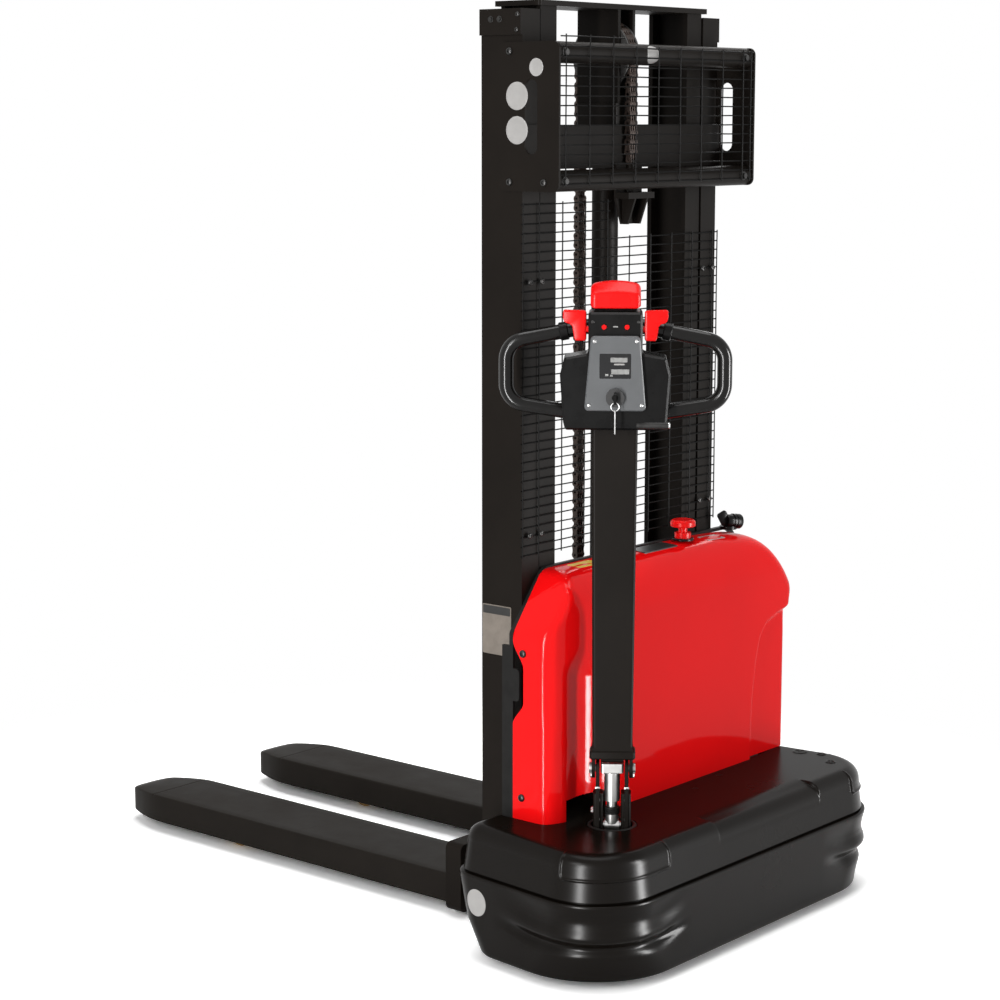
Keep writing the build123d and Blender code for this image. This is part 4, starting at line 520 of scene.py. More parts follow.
def chainRun(name, pins, odd):
    # pins as distance forwards and height; plates of every second link stand outside
    pins = np.asarray(pins, float)
    thick, half = chain["thick"], chain["half"]
    shapes = []
    for index, (first, second) in enumerate(zip(pins[:-1], pins[1:])):
        step = second - first
        pitch = np.linalg.norm(step)
        along = np.array([0, *step / pitch])
        across = np.array([0, -along[2], along[1]])
        middle = np.array([0, *(first + second) / 2])
        for x in chain["outer"] if (index + odd) % 2 == 0 else chain["inner"]:
            shapes.append(plate(linkOutline(pitch), thick, middle + (x - thick / 2, 0, 0), across, along, (1, 0, 0),
                                chain["soften"]))
    rod = [(chain["pin"], 0), (chain["pin"], 2 * half)]
    shapes += [lathe(rod, (-half, y, z), (1, 0, 0), chain["pinSides"]) for y, z in pins]
    piece = addMesh(name, merge(shapes), "chainSteel")
    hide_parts("lift_chain")
    return piece


def straightPins(y, start, end):
    count = max(2, round(abs(end - start) / chain["pitch"]) + 1)
    return np.stack([np.full(count, y), np.linspace(start, end, count)], 1)


arc = np.linspace(0, np.pi, chain["wheelPins"])
wrapPins = np.stack([chain["wheelY"] + chain["wheelR"] * np.cos(arc),
                     chain["wheelZ"] + chain["wheelR"] * np.sin(arc)], 1)
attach(chainRun("chainWrap", wrapPins, 0), "inner_mast")
frontRun = chainRun("chainFrontRun", straightPins(chain["frontY"], chain["wheelZ"], chain["frontEnd"]), 1)
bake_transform(frontRun)
rearRun = chainRun("chainRearRun", straightPins(chain["rearY"], chain["rearEnd"], chain["wheelZ"]), 1)
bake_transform(rearRun)
print("chain laced")

# moulded hood: outline, rear face, bevel and corner blended into one form, then skinned on a grid
hoodTop = 0.740
hoodForm = dict(
    step=0.004, low=(-0.360, -0.566, 0.2475), high=(0.476, -0.4375, 0.7515), front=-0.446, foot=0.2601, wall=0.004,
    outline=[(-0.350, 0.20, 0.0), (-0.350, 0.624, 0.014), (-0.260, hoodTop, 0.020), (0.374, hoodTop, 0.060),
             (0.4655, 0.611, 0.026), (0.445, 0.556, 0.034), (0.445, 0.20, 0.0)],
    rear=-0.555, bevel=((-0.500, hoodTop), (-0.560, 0.682)), corner=((-0.350, -0.5235), (-0.290, -0.555)),
    crease=[(0.300, 0.20), (0.301, 0.265), (0.306, 0.387), (0.318, 0.470), (0.333, 0.520), (0.358, 0.548),
            (0.400, 0.562), (0.500, 0.585), (0.500, 0.20)], creaseDeep=0.013, creaseWide=0.013, creaseLead=0.2,
    hollow=(tiller["x"], tiller["y"]), hollowRadius=0.0785, hollowTop=(0.535, 0.605), hollowLean=0.25,
    hollowTaper=0.026, notch=(-0.304, -0.192, 0.302), grip=(0.447, 0.492, 0.556, 0.612), gripDeep=0.026,
    gripSide=(0.315, 0.335), gripFrom=0.035, crownSpan=(0.95, 1.08), weld=0.0004, sharp=42,
    blends=dict(bevel=0.034, top=0.02, corner=0.03, edge=0.014, crown=0.02, hollow=0.02))
cornerShare = 0.46  # the most of an edge that one corner takes


def roundOutline(corners, steps=9):
    # each corner becomes a curve that leaves it by the given length on both sides
    points = np.array([corner[:2] for corner in corners])
    bent = []
    part = np.linspace(0, 1, steps)[:, None]
    for index, corner in enumerate(corners):
        here = points[index]
        ends = []
        for other in (points[index - 1], points[(index + 1) % len(points)]):
            away = other - here
            long = np.linalg.norm(away)
            ends.append(here + away / long * min(corner[2], cornerShare * long))
        if corner[2]:
            bent.append((1 - part) ** 2 * ends[0] + 2 * part * (1 - part) * here + part ** 2 * ends[1])
        else:
            bent.append(here[None])
    return np.vstack(bent)


def outlineDistance(x, z, corners):
    # distance to the nearest edge of a closed outline, negative inside it
    corners = np.asarray(corners, float)
    nearest = np.full(x.shape, np.inf)
    inside = np.zeros(x.shape, bool)
    for first, second in zip(corners, np.roll(corners, -1, 0)):
        edge = second - first
        part = np.clip(((x - first[0]) * edge[0] + (z - first[1]) * edge[1]) / (edge @ edge), 0, 1)
        nearest = np.minimum(nearest, np.hypot(x - first[0] - part * edge[0], z - first[1] - part * edge[1]))
        if edge[1]:
            inside ^= ((first[1] > z) != (second[1] > z)) & (x < first[0] + edge[0] * (z - first[1]) / edge[1])
    return np.where(inside, -nearest, nearest)


def smoothStep(value, low, high):
    part = np.clip((value - low) / (high - low), 0, 1)
    return part * part * (3 - 2 * part)


def blendMax(first, second, width):
    # the larger of two distances, rounded where they are closer than the width
    near = np.maximum(width - np.abs(first - second), 0) / width
    return np.maximum(first, second) + near * near * width / 4


def halfSpace(across, up, line):
    # distance from the line through two points, positive on its left
    (startX, startY), (endX, endY) = line
    long = math.hypot(endX - startX, endY - startY)
    return ((endX - startX) * (up - startY) - (endY - startY) * (across - startX)) / long


hoodOutline = roundOutline(hoodForm["outline"])


def hoodDistance(x, y, z):
    # rear face, bevel, top, corner and outline blended in turn, then hollowed round the tiller
    look, blends = hoodForm, hoodForm["blends"]
    middleX, middleY = look["hollow"]
    wide = look["creaseWide"]
    sunk = look["creaseDeep"] * smoothStep(-outlineDistance(x, z, look["crease"]), -look["creaseLead"] * wide, wide)
    form = blendMax(look["rear"] + sunk - y, -halfSpace(y, z, look["bevel"]), blends["bevel"])
    form = blendMax(form, z - hoodTop, blends["top"])
    form = blendMax(form, -halfSpace(x, y, look["corner"]), blends["corner"])
    edge = blends["edge"] + blends["crown"] * smoothStep(x + z, *look["crownSpan"])
    form = blendMax(form, outlineDistance(x, z, hoodOutline), edge)
    rise = smoothStep(z + look["hollowLean"] * (x - middleX), *look["hollowTop"])
    hollow = look["hollowRadius"] - look["hollowTaper"] * rise - np.hypot(x - middleX, y - middleY)
    return blendMax(form, hollow, blends["hollow"])


def gridSkin(distance, low, high, step):
    # one point in each cell that the surface crosses, joined to quads across each crossed grid edge
    axes = [np.arange(a, b, step) for a, b in zip(low, high)]
    field = distance(*np.meshgrid(*axes, indexing="ij"))
    solid = field < 0
    cells = np.array(field.shape) - 1
    total = np.zeros((*cells, 3))
    count = np.zeros(cells)
    for axis in range(3):
        first = np.take(field, np.arange(cells[axis]), axis)
        second = np.take(field, np.arange(1, cells[axis] + 1), axis)
        crossed = (first < 0) != (second < 0)
        part = np.where(crossed, first / np.where(crossed, first - second, 1), 0)
        sideA, sideB = [other for other in range(3) if other != axis]
        for stepA in (0, 1):
            for stepB in (0, 1):
                cut = [slice(None)] * 3
                cut[sideA] = slice(stepA, stepA + cells[sideA])
                cut[sideB] = slice(stepB, stepB + cells[sideB])
                hit = crossed[tuple(cut)]
                total[..., axis] += np.where(hit, part[tuple(cut)], 0)
                total[..., sideA] += hit * stepA
                total[..., sideB] += hit * stepB
                count += hit
    used = count > 0
    number = np.full(cells, -1)
    number[used] = np.arange(used.sum())
    points = (np.argwhere(used) + total[used] / count[used][:, None]) * step + np.array(low)
    faces = []
    for axis in range(3):
        sideA, sideB = [other for other in range(3) if other != axis]
        cut = [slice(1, -1)] * 3
        cut[axis] = slice(None, -1)
        ahead = list(cut)
        ahead[axis] = slice(1, None)
        crossed = solid[tuple(cut)] != solid[tuple(ahead)]
        spots = np.argwhere(crossed) + [0 if other == axis else 1 for other in range(3)]
        corners = []
        for stepA, stepB in ((0, 0), (1, 0), (1, 1), (0, 1)):
            shift = np.zeros(3, int)
            shift[sideA], shift[sideB] = -stepA, -stepB
            corners.append(number[tuple((spots + shift).T)])
        faces.append(np.stack(corners, 1))
    return points, np.vstack(faces)


def slopeOf(distance, points, size=0.0005):
    # direction in which the distance grows, from differences on both sides
    grown = [distance(*(points + size * axis).T) - distance(*(points - size * axis).T) for axis in np.eye(3)]
    return np.stack(grown, 1) / (2 * size)


def settle(distance, points, rounds=4, least=0.2):
    # moves the points along the slope until they lie on the surface
    for _ in range(rounds):
        slope = slopeOf(distance, points)
        points = points - distance(*points.T)[:, None] * slope / np.maximum((slope ** 2).sum(1), least)[:, None]
    return points


def shell(points, faces, wall, facing=None):
    # inner skin at the wall's depth, joined to the outer one along the open edges
    points = np.asarray(points, float)
    if facing is None:
        facing = np.zeros_like(points)
        for face in faces:
            ring = points[face]
            facing[face] += np.cross(ring[2] - ring[0], ring[-1] - ring[1])
    facing = facing / np.linalg.norm(facing, axis=1, keepdims=True)
    uses = {}
    for face in faces:
        for first, second in zip(face[-1:] + face[:-1], face):
            key = (min(first, second), max(first, second))
            uses[key] = uses.get(key, 0) + 1
    count = len(points)
    inside = [[count + corner for corner in face[::-1]] for face in faces]
    rim = [[first, second, count + second, count + first] for (first, second), used in uses.items() if used == 1]
    return np.vstack([points, points - wall * facing]), faces + inside + rim


def makeHood():
    look = hoodForm
    points, faces = gridSkin(hoodDistance, look["low"], look["high"], look["step"])
    points = settle(hoodDistance, points)
    mesh = bpy.data.meshes.new("hoodSkin")
    mesh.from_pydata(points.tolist(), [], faces.tolist())
    soup = bmesh.new()
    soup.from_mesh(mesh)
    bpy.data.meshes.remove(mesh)
    left, right, top = look["notch"]
    # open at the front and the foot, with edges along the notch that the tiller stands in
    cuts = [((0, look["front"], 0), (0, 1, 0), True), ((0, 0, look["foot"]), (0, 0, -1), True),
            ((left, 0, 0), (1, 0, 0), False), ((right, 0, 0), (1, 0, 0), False), ((0, 0, top), (0, 0, 1), False)]
    for place, facing, clear in cuts:
        bmesh.ops.bisect_plane(soup, geom=soup.verts[:] + soup.edges[:] + soup.faces[:], plane_co=place,
                               plane_no=facing, clear_outer=clear, dist=look["weld"])
    middles = [(face, face.calc_center_median()) for face in soup.faces]
    gone = [face for face, middle in middles if left < middle.x < right and middle.z < top]
    bmesh.ops.delete(soup, geom=gone, context="FACES")
    soup.verts.index_update()
    points = np.array([vert.co[:] for vert in soup.verts])
    faces = [[vert.index for vert in face.verts] for face in soup.faces]
    soup.free()
    points, faces = shell(points, faces, look["wall"], slopeOf(hoodDistance, points))
    # the left side's front edge draws back into the finger hollow
    low, rise, fall, high = look["grip"]
    back = look["gripDeep"] * (smoothStep(points[:, 2], low, rise) - smoothStep(points[:, 2], fall, high))
    side = smoothStep(-points[:, 0], *look["gripSide"])
    deep = look["front"] - look["rear"] - look["gripFrom"]
    near = np.clip((points[:, 1] - look["rear"] - look["gripFrom"]) / deep, 0, 1)
    points[:, 1] -= back * side * near
    piece = addMesh("hoodShell", (points, faces), "hoodRed", "chassis", look["sharp"])
    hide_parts("hood")
    print("hood skinned:", len(faces), "faces")


makeHood()


def onHood(shape, rounds=8):
    # drops a shape made on the level of the hood's top onto the hood itself
    points, faces = shape
    points = np.array(points, float)
    level = np.full(len(points), hoodTop)
    for _ in range(rounds):
        level -= hoodDistance(points[:, 0], points[:, 1], level)
    points[:, 2] += level - hoodTop
    return points, faces


# moulded base: rings round a plan that is open at the mast, each drawn in by an inset at its height
baseForm = dict(
    front=-0.376, rear=-0.786, halfFront=0.454, halfRear=0.500, frontCorner=0.055, mastRoom=0.321, corner=0.136,
    footCorner=0.178, footTop=(0.016, 0.100), toe=((0.016, 0.080, 0.162), (-0.438, -0.398, -0.376)), wall=0.0045,
    seam=0.170, top=0.260, round=0.028, coverInset=0.007, draft=0.009, last=0.0765, step=0.006, fine=0.0011,
    fineReach=0.011, foot=dict(low=0.016, flange=0.016, round=0.008, steps=5),
    reliefFade=0.6, least=0.002, roundSteps=14, topRings=8, sharp=50,
    skirtLevels=(0.030, 0.040, 0.050, 0.060, 0.068, 0.074, *np.linspace(0.078, 0.126, 25), 0.130, 0.135, 0.141,
                 0.148, 0.155, 0.161, 0.1655),
    coverLevels=(0.179, 0.185, 0.191, 0.197, 0.2015, *np.linspace(0.204, 0.219, 16), 0.222, 0.225, 0.2285),
    # inset of each lip's rings and their height from the seam
    skirtLip=((0.0002, -0.0022), (0.0012, -0.0007), (0.0035, 0), (0.0118, 0)),
    coverLip=((0.0122, -0.001), (0.0122, 0.0035), (0.0085, 0.0035), (0.0073, 0.0045)),
    swell=dict(heights=(0.016, 0.040, 0.064, 0.072, 0.077, 0.083, 0.089, 0.095, 0.100, 0.105, 0.112, 0.122, 0.134,
                        0.150, 0.164),
               sunk=(0.0, 0.0015, 0.003, 0.0045, 0.0115, 0.0145, 0.012, 0.0055, 0.0012, 0.0, 0.0012, 0.0052, 0.0068,
                     0.004, 0.0),
               acrossEnd=(0.225, 0.330), sideEnd=(-0.615, -0.49), rise=0.014, soften=(-0.002, 0, 0.002)),
    relief=dict(low=0.2115, soft=0.012, raised=0.0022, edge=(-0.0016, 0.0008), bead=0.0024, beadWide=0.0026,
                beadIn=0.0032, ends=((-0.4786, -0.658), (-0.280, -0.779), (0.352, -0.779), (0.4786, -0.658))),
    scoop=dict(left=-0.118, right=0.236, soft=0.003, drop=0.0075, flat=(0.034, 0.074), wall=(0.212, 0.236),
               facing=-0.99),
    hole=(tiller["x"], tiller["y"], 0.0489), holeSides=72,
    tray=((0.321, -0.4565), (0.374, -0.4565), (0.374, -0.547), (-0.148, -0.547), (-0.148, -0.4525)))


def planParts(inset, corner, front):
    # straights and arcs of the outline in turn, counterclockwise from the left of the mast
    look = baseForm
    slope = (look["halfRear"] - look["halfFront"]) / (look["front"] - look["rear"])
    far, near = front - inset, look["rear"] + inset
    wide = [look["halfRear"] - slope * (y - look["rear"]) - inset * math.hypot(1, slope) for y in (far, near)]
    room = look["mastRoom"]
    points = np.array([(-room, far), (-wide[0], far), (-wide[1], near), (wide[1], near), (wide[0], far),
                       (room, far)])
    radii = [max(radius - inset, look["least"])
             for radius in (look["frontCorner"], corner, corner, look["frontCorner"])]
    parts, start = [], points[0]
    for here, before, after, radius in zip(points[1:-1], points, points[2:], radii):
        back = (before - here) / np.linalg.norm(before - here)
        ahead = (after - here) / np.linalg.norm(after - here)
        half = math.acos(back @ ahead) / 2
        reach = radius / math.tan(half)
        centre = here + (back + ahead) / np.linalg.norm(back + ahead) * radius / math.sin(half)
        parts.append((start, here + back * reach))
        first = here + back * reach - centre
        parts.append((centre, radius, math.atan2(first[1], first[0]), math.pi - 2 * half))
        start = here + ahead * reach
    return parts + [(start, points[-1])]


def planSpots():
    # distances along the outline, close together where a relief or the scoop ends
    look = baseForm
    parts = planParts(look["coverInset"], look["corner"], look["front"])
    longs = np.array([np.linalg.norm(part[1] - part[0]) if len(part) == 2 else part[1] * part[3] for part in parts])
    starts = np.concatenate([[0], np.cumsum(longs)])
    coarse = np.linspace(0, starts[-1], round(starts[-1] / look["step"]))
    trial = planRing(look["coverInset"], look["corner"], look["front"], spotParts(coarse, starts))[0]
    rear = look["rear"] + look["coverInset"]
    marks = [*look["relief"]["ends"], *[(look["scoop"][end], rear) for end in ("left", "right")]]
    marks = [coarse[np.argmin(((trial - mark) ** 2).sum(1))] for mark in marks]
    near = np.arange(-look["fineReach"], look["fineReach"], look["fine"])
    along = np.unique(np.round(np.concatenate([coarse, *[mark + near for mark in marks], starts]), 5))
    return along, spotParts(along, starts), marks[:4]


def spotParts(along, starts):
    number = np.clip(np.searchsorted(starts, along, side="right") - 1, 0, len(starts) - 2)
    return number, (along - starts[number]) / (starts[number + 1] - starts[number])


def planRing(inset, corner, front, spots):
    # points of one ring and the directions that face out of it
    number, part = spots
    points, facing = np.zeros((2, len(part), 2))
    for index, piece in enumerate(planParts(inset, corner, front)):
        here = number == index
        if len(piece) == 2:
            start, end = piece
            points[here] = start + part[here, None] * (end - start)
            facing[here] = np.array([end[1] - start[1], start[0] - end[0]]) / np.linalg.norm(end - start)
        else:
            centre, radius, angle, sweep = piece
            turn = angle + part[here, None] * sweep
            facing[here] = np.hstack([np.cos(turn), np.sin(turn)])
            points[here] = centre + radius * facing[here]
    return points, facing


def stripFaces(rows, sides):
    # quads between neighbouring open rows
    here = np.arange(sides - 1)
    step = np.arange(rows - 1)[:, None] * sides
    faces = np.stack([step + here, step + here + 1, step + sides + here + 1, step + sides + here], -1)
    return faces.reshape(-1, 4).tolist()


def makeSkirt(spots):
    look, foot, swell = baseForm, baseForm["foot"], baseForm["swell"]
    turn = np.linspace(0, np.pi / 2, foot["steps"])
    rows = [(foot["flange"], foot["low"])]
    rows += zip(foot["round"] * (1 - np.sin(turn)), foot["low"] + foot["round"] - foot["round"] * np.cos(turn))
    rows += [(0, z) for z in look["skirtLevels"]]
    rows += [(inset, look["seam"] + over) for inset, over in look["skirtLip"]]
    rings = []
    for inset, z in rows:
        corner = look["footCorner"] + (look["corner"] - look["footCorner"]) * smoothStep(z, *look["footTop"])
        ring, facing = planRing(inset, corner, np.interp(z, *look["toe"]), spots)
        # the corner's ridge and the hollows above and below it fade and rise towards both ends
        reach = smoothStep(np.abs(ring[:, 0]), *swell["acrossEnd"])
        reach = reach * (1 - smoothStep(ring[:, 1], *swell["sideEnd"]))
        level = z - swell["rise"] * (1 - reach)
        sunk = np.mean([np.interp(level + shift, swell["heights"], swell["sunk"]) for shift in swell["soften"]], 0)
        ring = ring - (sunk * reach)[:, None] * facing
        rings.append(np.column_stack([ring, np.full(len(ring), z)]))
    faces = stripFaces(len(rows), len(rings[0]))
    piece = addMesh("baseSkirtShell", shell(np.vstack(rings), faces, look["wall"]), "baseMoulding", "chassis",
                    look["sharp"])
    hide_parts("base_skirt")


def coverRows():
    # inset and height of each ring, and how far the relief stands out there
    look = baseForm
    seam, inset, spring = look["seam"], look["coverInset"], look["top"] - look["round"]
    rows = [(deep, seam + over, 1) for deep, over in look["coverLip"]]
    for z in (*look["coverLevels"], spring):
        rows.append((inset + look["draft"] * (z - seam) / (spring - seam), z, 1))
    for turn in np.linspace(0, np.pi / 2, look["roundSteps"])[1:]:
        rows.append((inset + look["draft"] + look["round"] * (1 - math.cos(turn)),
                     spring + look["round"] * math.sin(turn), math.cos(turn) ** look["reliefFade"]))
    return rows + [(deep, look["top"], 0) for deep in np.linspace(rows[-1][0], look["last"], look["topRings"])[1:]]


def reliefHeight(along, z, ends):
    # a raised field with a bead inside its border, which has two round lower corners
    relief = baseForm["relief"]
    soft, height = relief["soft"], np.zeros(len(along))
    below = relief["low"] - z + soft
    for first, last in (ends[:2], ends[2:]):
        across = np.maximum(first - along, along - last) + soft
        edge = np.minimum(np.maximum(across, below), 0) + np.hypot(np.maximum(across, 0), max(below, 0)) - soft
        height += relief["raised"] * (1 - smoothStep(edge, *relief["edge"]))
        height += relief["bead"] * np.exp(-((edge + relief["beadIn"]) / relief["beadWide"]) ** 2)
    return height


def fillTop(border):
    # triangles between the last ring with the tray under the hood and the hole of the tiller
    x, y, radius = baseForm["hole"]
    turn = wholeTurn(baseForm["holeSides"])
    hole = np.column_stack([x + radius * np.cos(turn), y + radius * np.sin(turn)])
    soup = bmesh.new()
    edges = []
    for loop in (np.vstack([border, baseForm["tray"]]), hole):
        verts = [soup.verts.new((*spot, baseForm["top"])) for spot in loop]
        edges += [soup.edges.new((verts[index - 1], verts[index])) for index in range(len(loop))]
    bmesh.ops.triangle_fill(soup, use_beauty=True, edges=edges, normal=(0, 0, 1))
    soup.verts.index_update()
    faces = [[vert.index for vert in (face.verts if face.normal.z > 0 else reversed(face.verts))]
             for face in soup.faces]
    points = np.array([vert.co[:] for vert in soup.verts])
    soup.free()
    return points, faces


def makeCover(along, spots, ends):
    look, scoop = baseForm, baseForm["scoop"]
    left, right, soft = scoop["left"], scoop["right"], scoop["soft"]
    rows = coverRows()
    rings = []
    for deep, z, side in rows:
        ring, facing = planRing(deep, look["corner"], look["front"], spots)
        ring = ring + side * reliefHeight(along, z, ends)[:, None] * facing
        # the scoop lies in the rear wall alone and fades downwards and over the top
        reach = smoothStep(ring[:, 0], left - soft, left + soft)
        reach = reach * (1 - smoothStep(ring[:, 0], right - soft, right + soft))
        reach = reach * (facing[:, 1] < scoop["facing"])
        fade = smoothStep(z, *scoop["wall"]) * (1 - smoothStep(deep, *scoop["flat"]))
        rings.append(np.column_stack([ring, z - scoop["drop"] * reach * fade]))
    sides = len(rings[0])
    topPoints, topFaces = fillTop(rings[-1][:, :2])
    shift = (len(rings) - 1) * sides
    faces = stripFaces(len(rows), sides) + [[shift + corner for corner in face] for face in topFaces]
    points = np.vstack([*rings, topPoints[sides:]])
    piece = addMesh("baseCoverShell", shell(points, faces, look["wall"]), "baseMoulding", "chassis", look["sharp"])
    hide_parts("base_cover")


planAlong, planPlaces, reliefEnds = planSpots()
makeSkirt(planPlaces)
makeCover(planAlong, planPlaces, reliefEnds)
# profile as a share of the plug's radius and a height
plugs = dict(sides=32, places=[(0.420, -0.602, 0.016), (0.432, -0.648, 0.010), (0.391, -0.697, 0.011)],
             profile=[(1.0, 0.0), (1.0, 0.0006), (0.86, 0.0016), (0.72, 0.0016), (0.62, 0.0004), (0.3, 0.0003),
                      (0.22, 0.0012), (0.1, 0.0014)])
addMesh("basePlugs", merge([lathe([(radius * wide, tall) for wide, tall in plugs["profile"]],
                                  (x, y, baseForm["top"]), upward, plugs["sides"])
                            for x, y, radius in plugs["places"]]),
        "baseMoulding", "chassis")
print("base moulded")

# forks: inverted channels over the legs, with a rounded tip welded on at a seam
forkForm = dict(mid=0.201, half=0.084, rear=-0.224, tip=0.790, taper=0.105, noseHalf=0.042, low=0.025, top=0.085,
                wall=0.006, edge=0.004, seam=0.668, groove=0.0009, grooveWide=0.0012, fall=0.0035, bend=0.052,
                drop=0.014, dropPower=1.6, shoulderBend=0.05, noseBend=0.0386, steps=25, stations=70, across=7,
                tipHalf=0.0003, shoulderGap=0.0003, web=0.0006, lowEdge=(0.0008, 0.001), edgeSteps=4,
                seamSteps=(-0.003, -0.0012, -0.0006, 0, 0.0006, 0.0012, 0.003))


def forkTop(y):
    # level to the seam, a slight fall beyond it, then a curve down to the nose, with a groove at the seam
    look = forkForm
    start = look["tip"] - look["bend"]
    fall = look["fall"] * np.clip((y - look["seam"]) / (start - look["seam"]), 0, 1)
    nose = (look["drop"] - look["fall"]) * np.clip((y - start) / look["bend"], 0, 1) ** look["dropPower"]
    groove = look["groove"] * np.exp(-((y - look["seam"]) / look["grooveWide"]) ** 2)
    return look["top"] - fall - nose - groove


def makeFork(name, node, side):
    # half outline from the rear to the tip, drawn in along its own normal and mirrored
    look, steps, low = forkForm, forkForm["steps"], forkForm["low"]
    shoulder = look["tip"] - look["taper"]
    corners = [(look["half"], look["rear"], 0), (look["half"], shoulder, look["shoulderBend"]),
               (look["noseHalf"], look["tip"], look["noseBend"])]
    corners += [(-x, y, bend) for x, y, bend in corners[::-1]]
    half = np.vstack([roundOutline(corners, steps)[:2 * steps + 1], [(look["tipHalf"], look["tip"])]])
    run = np.append(0, np.cumsum(np.linalg.norm(np.diff(half, axis=0), axis=1)))
    # stations close together at the seam, the shoulder and the nose
    marks = [look["seam"] + step for step in look["seamSteps"]]
    marks += [shoulder - look["shoulderGap"], shoulder + look["shoulderGap"]]
    marks = np.interp(marks, half[:, 1], run)
    stations = np.sort(np.concatenate([np.linspace(0, run[-1], look["stations"]), marks, run[-steps:-1]]))
    spine = np.stack([np.interp(stations, run, half[:, axis]) for axis in (0, 1)], 1)
    ahead = np.gradient(half, run, axis=0)
    ahead = np.stack([np.interp(stations, run, ahead[:, axis]) for axis in (0, 1)], 1)
    normal = np.stack([ahead[:, 1], -ahead[:, 0]], 1) / np.linalg.norm(ahead, axis=1)[:, None]
    # up the inside of the wall, round its lower edge, up the outside and over the rounded edge
    hollow = np.where(spine[:, 1] < shoulder, look["top"] - look["wall"], low + look["web"])
    drawn, raised = look["lowEdge"]
    columns = []
    for inset, height in ((look["wall"], hollow), (look["wall"], low), (drawn, low), (0, low + raised)):
        place = spine - inset * normal
        columns.append(np.column_stack([place, np.broadcast_to(height, len(place))]))
    for angle in np.linspace(0, np.pi / 2, look["edgeSteps"]):
        place = spine - look["edge"] * (1 - np.cos(angle)) * normal
        columns.append(np.column_stack([place, forkTop(place[:, 1]) - look["edge"] * (1 - np.sin(angle))]))
    columns = np.stack(columns, 1)
    count = look["across"]
    across = columns[:, -1:] * np.stack([np.linspace(1, -1, count + 2)[1:-1], np.ones(count), np.ones(count)], 1)
    rings = np.concatenate([columns, across, columns[:, ::-1] * (-1, 1, 1)], 1) + (side * look["mid"], 0, 0)
    piece = addMesh(name, skin(rings), "forkPaint", "carriage")
    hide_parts(node)


makeFork("leftForkShell", "fork_left", -1)
makeFork("rightForkShell", "fork_right", 1)
print("forks formed")

# sheet shroud under the chain wheel's yoke, round the head of the cylinder
yokeShroud = dict(place=(0.0, chain["wheelY"], 0.0), wide=0.066, deep=0.098, corner=0.006, wall=0.003,
                  low=1.568, high=1.6239)


def makeShroud():
    # outer and inner outline, up the outside and down the inside
    look = yokeShroud
    rings = []
    for wall, z in ((0, look["low"]), (0, look["high"]), (look["wall"], look["high"]), (look["wall"], look["low"])):
        ring = roundRect(look["wide"] - 2 * wall, look["deep"] - 2 * wall, look["corner"])
        rings.append(np.column_stack([ring, np.full(len(ring), z)]) + look["place"])
    addMesh("yokeShroud", skin(rings, True), "mastPaint", "inner_mast")


makeShroud()

# bolts and screws by the piece that they make; those of the tiller in its own directions
leftward, rightward = np.array([-1.0, 0.0, 0.0]), np.array([1.0, 0.0, 0.0])
rearward, onward = np.array([0.0, -1.0, 0.0]), np.array([0.0, 1.0, 0.0])
plainBolt = dict(body="chassis", finish="boltBlack", kind=domeBolt)
headPlateHoles = np.array([(-0.319, -0.365, 1.777), (-0.319, -0.386, 1.777)])
guardHoles = np.array([(-0.318, -0.493, 1.477), (-0.318, -0.41, 1.477), (-0.318, -0.41, 1.718)])
mirrored = np.array([-1, 1, 1])
turntable = np.radians([-115, -65, 20, 65, 115, 160])
bolts = dict(
    headPlateBolts=dict(kind=hexBolt, radius=0.0045, axis=leftward, places=headPlateHoles),
    headPlateBoltsRight=dict(kind=hexBolt, radius=0.0045, axis=rightward, places=headPlateHoles * mirrored),
    headPlateScrews=dict(radius=0.0045, axis=leftward, places=[(-0.319, -0.43, 1.785), (-0.319, -0.428, 1.757)]),
    guardScrews=dict(radius=0.007, axis=leftward, places=guardHoles),
    guardScrewsRight=dict(radius=0.007, axis=rightward, places=guardHoles * mirrored),
    tubeBolts=dict(kind=hexBolt, radius=0.0065, axis=rearward,
                   places=[(x, -0.5258, z) for x in (-0.297, 0.285) for z in (1.715, 1.480)]),
    meshClips=dict(radius=0.006, axis=rearward,
                   places=[(x, -0.4435, z) for x in (-0.297, -0.262, 0.262, 0.297) for z in (1.29, 0.806)]),
    hoodScrews=dict(radius=0.0075, axis=leftward, places=[(-0.350, -0.471, 0.588), (-0.350, -0.468, 0.304)]),
    hoodScrewsRight=dict(radius=0.0075, axis=rightward, places=[(0.445, -0.471, 0.52), (0.445, -0.468, 0.304)]),
    panelScrews=dict(body="tiller", finish="bareSteel", radius=0.0034, axis=-tillerAway,
                     places=fromTiller([(-0.0385, -0.057, 1.1915), (0.0385, -0.057, 1.1915),
                                        (-0.0485, -0.057, 1.0735), (0.0485, -0.057, 1.0735)])),
    neckScrews=dict(body="tiller", radius=0.003, axis=-tillerAway,
                    places=fromTiller([(x, -0.045, 1.226) for x in (-0.042, 0.042)])),
    turntableBolts=dict(body="steering", finish="chrome", kind=hexBolt, radius=0.0045, axis=upward,
                        places=fromTiller([(0.050 * math.cos(a), 0.050 * math.sin(a), 0.2435) for a in turntable])),
    footBolts=dict(body="steering", finish="chrome", kind=hexBolt, radius=0.0045, axis=-tillerRight,
                   places=fromTiller([(-0.036, -0.008, 0.287), (-0.036, 0.008, 0.287)])),
    footScrews=dict(body="steering", radius=0.004, axis=-tillerAway,
                    places=fromTiller([(x, -0.017, z) for x in (-0.0265, 0.0265) for z in (0.274, 0.312)])),
    earBolts=dict(body="tiller", finish="springSteel", radius=0.0052, axis=tillerRight,
                  places=fromTiller([(0.039, -0.004, 0.3578)])),
    earBoltsLeft=dict(body="tiller", finish="springSteel", radius=0.0052, axis=-tillerRight,
                      places=fromTiller([(-0.039, -0.004, 0.3578)])),
)
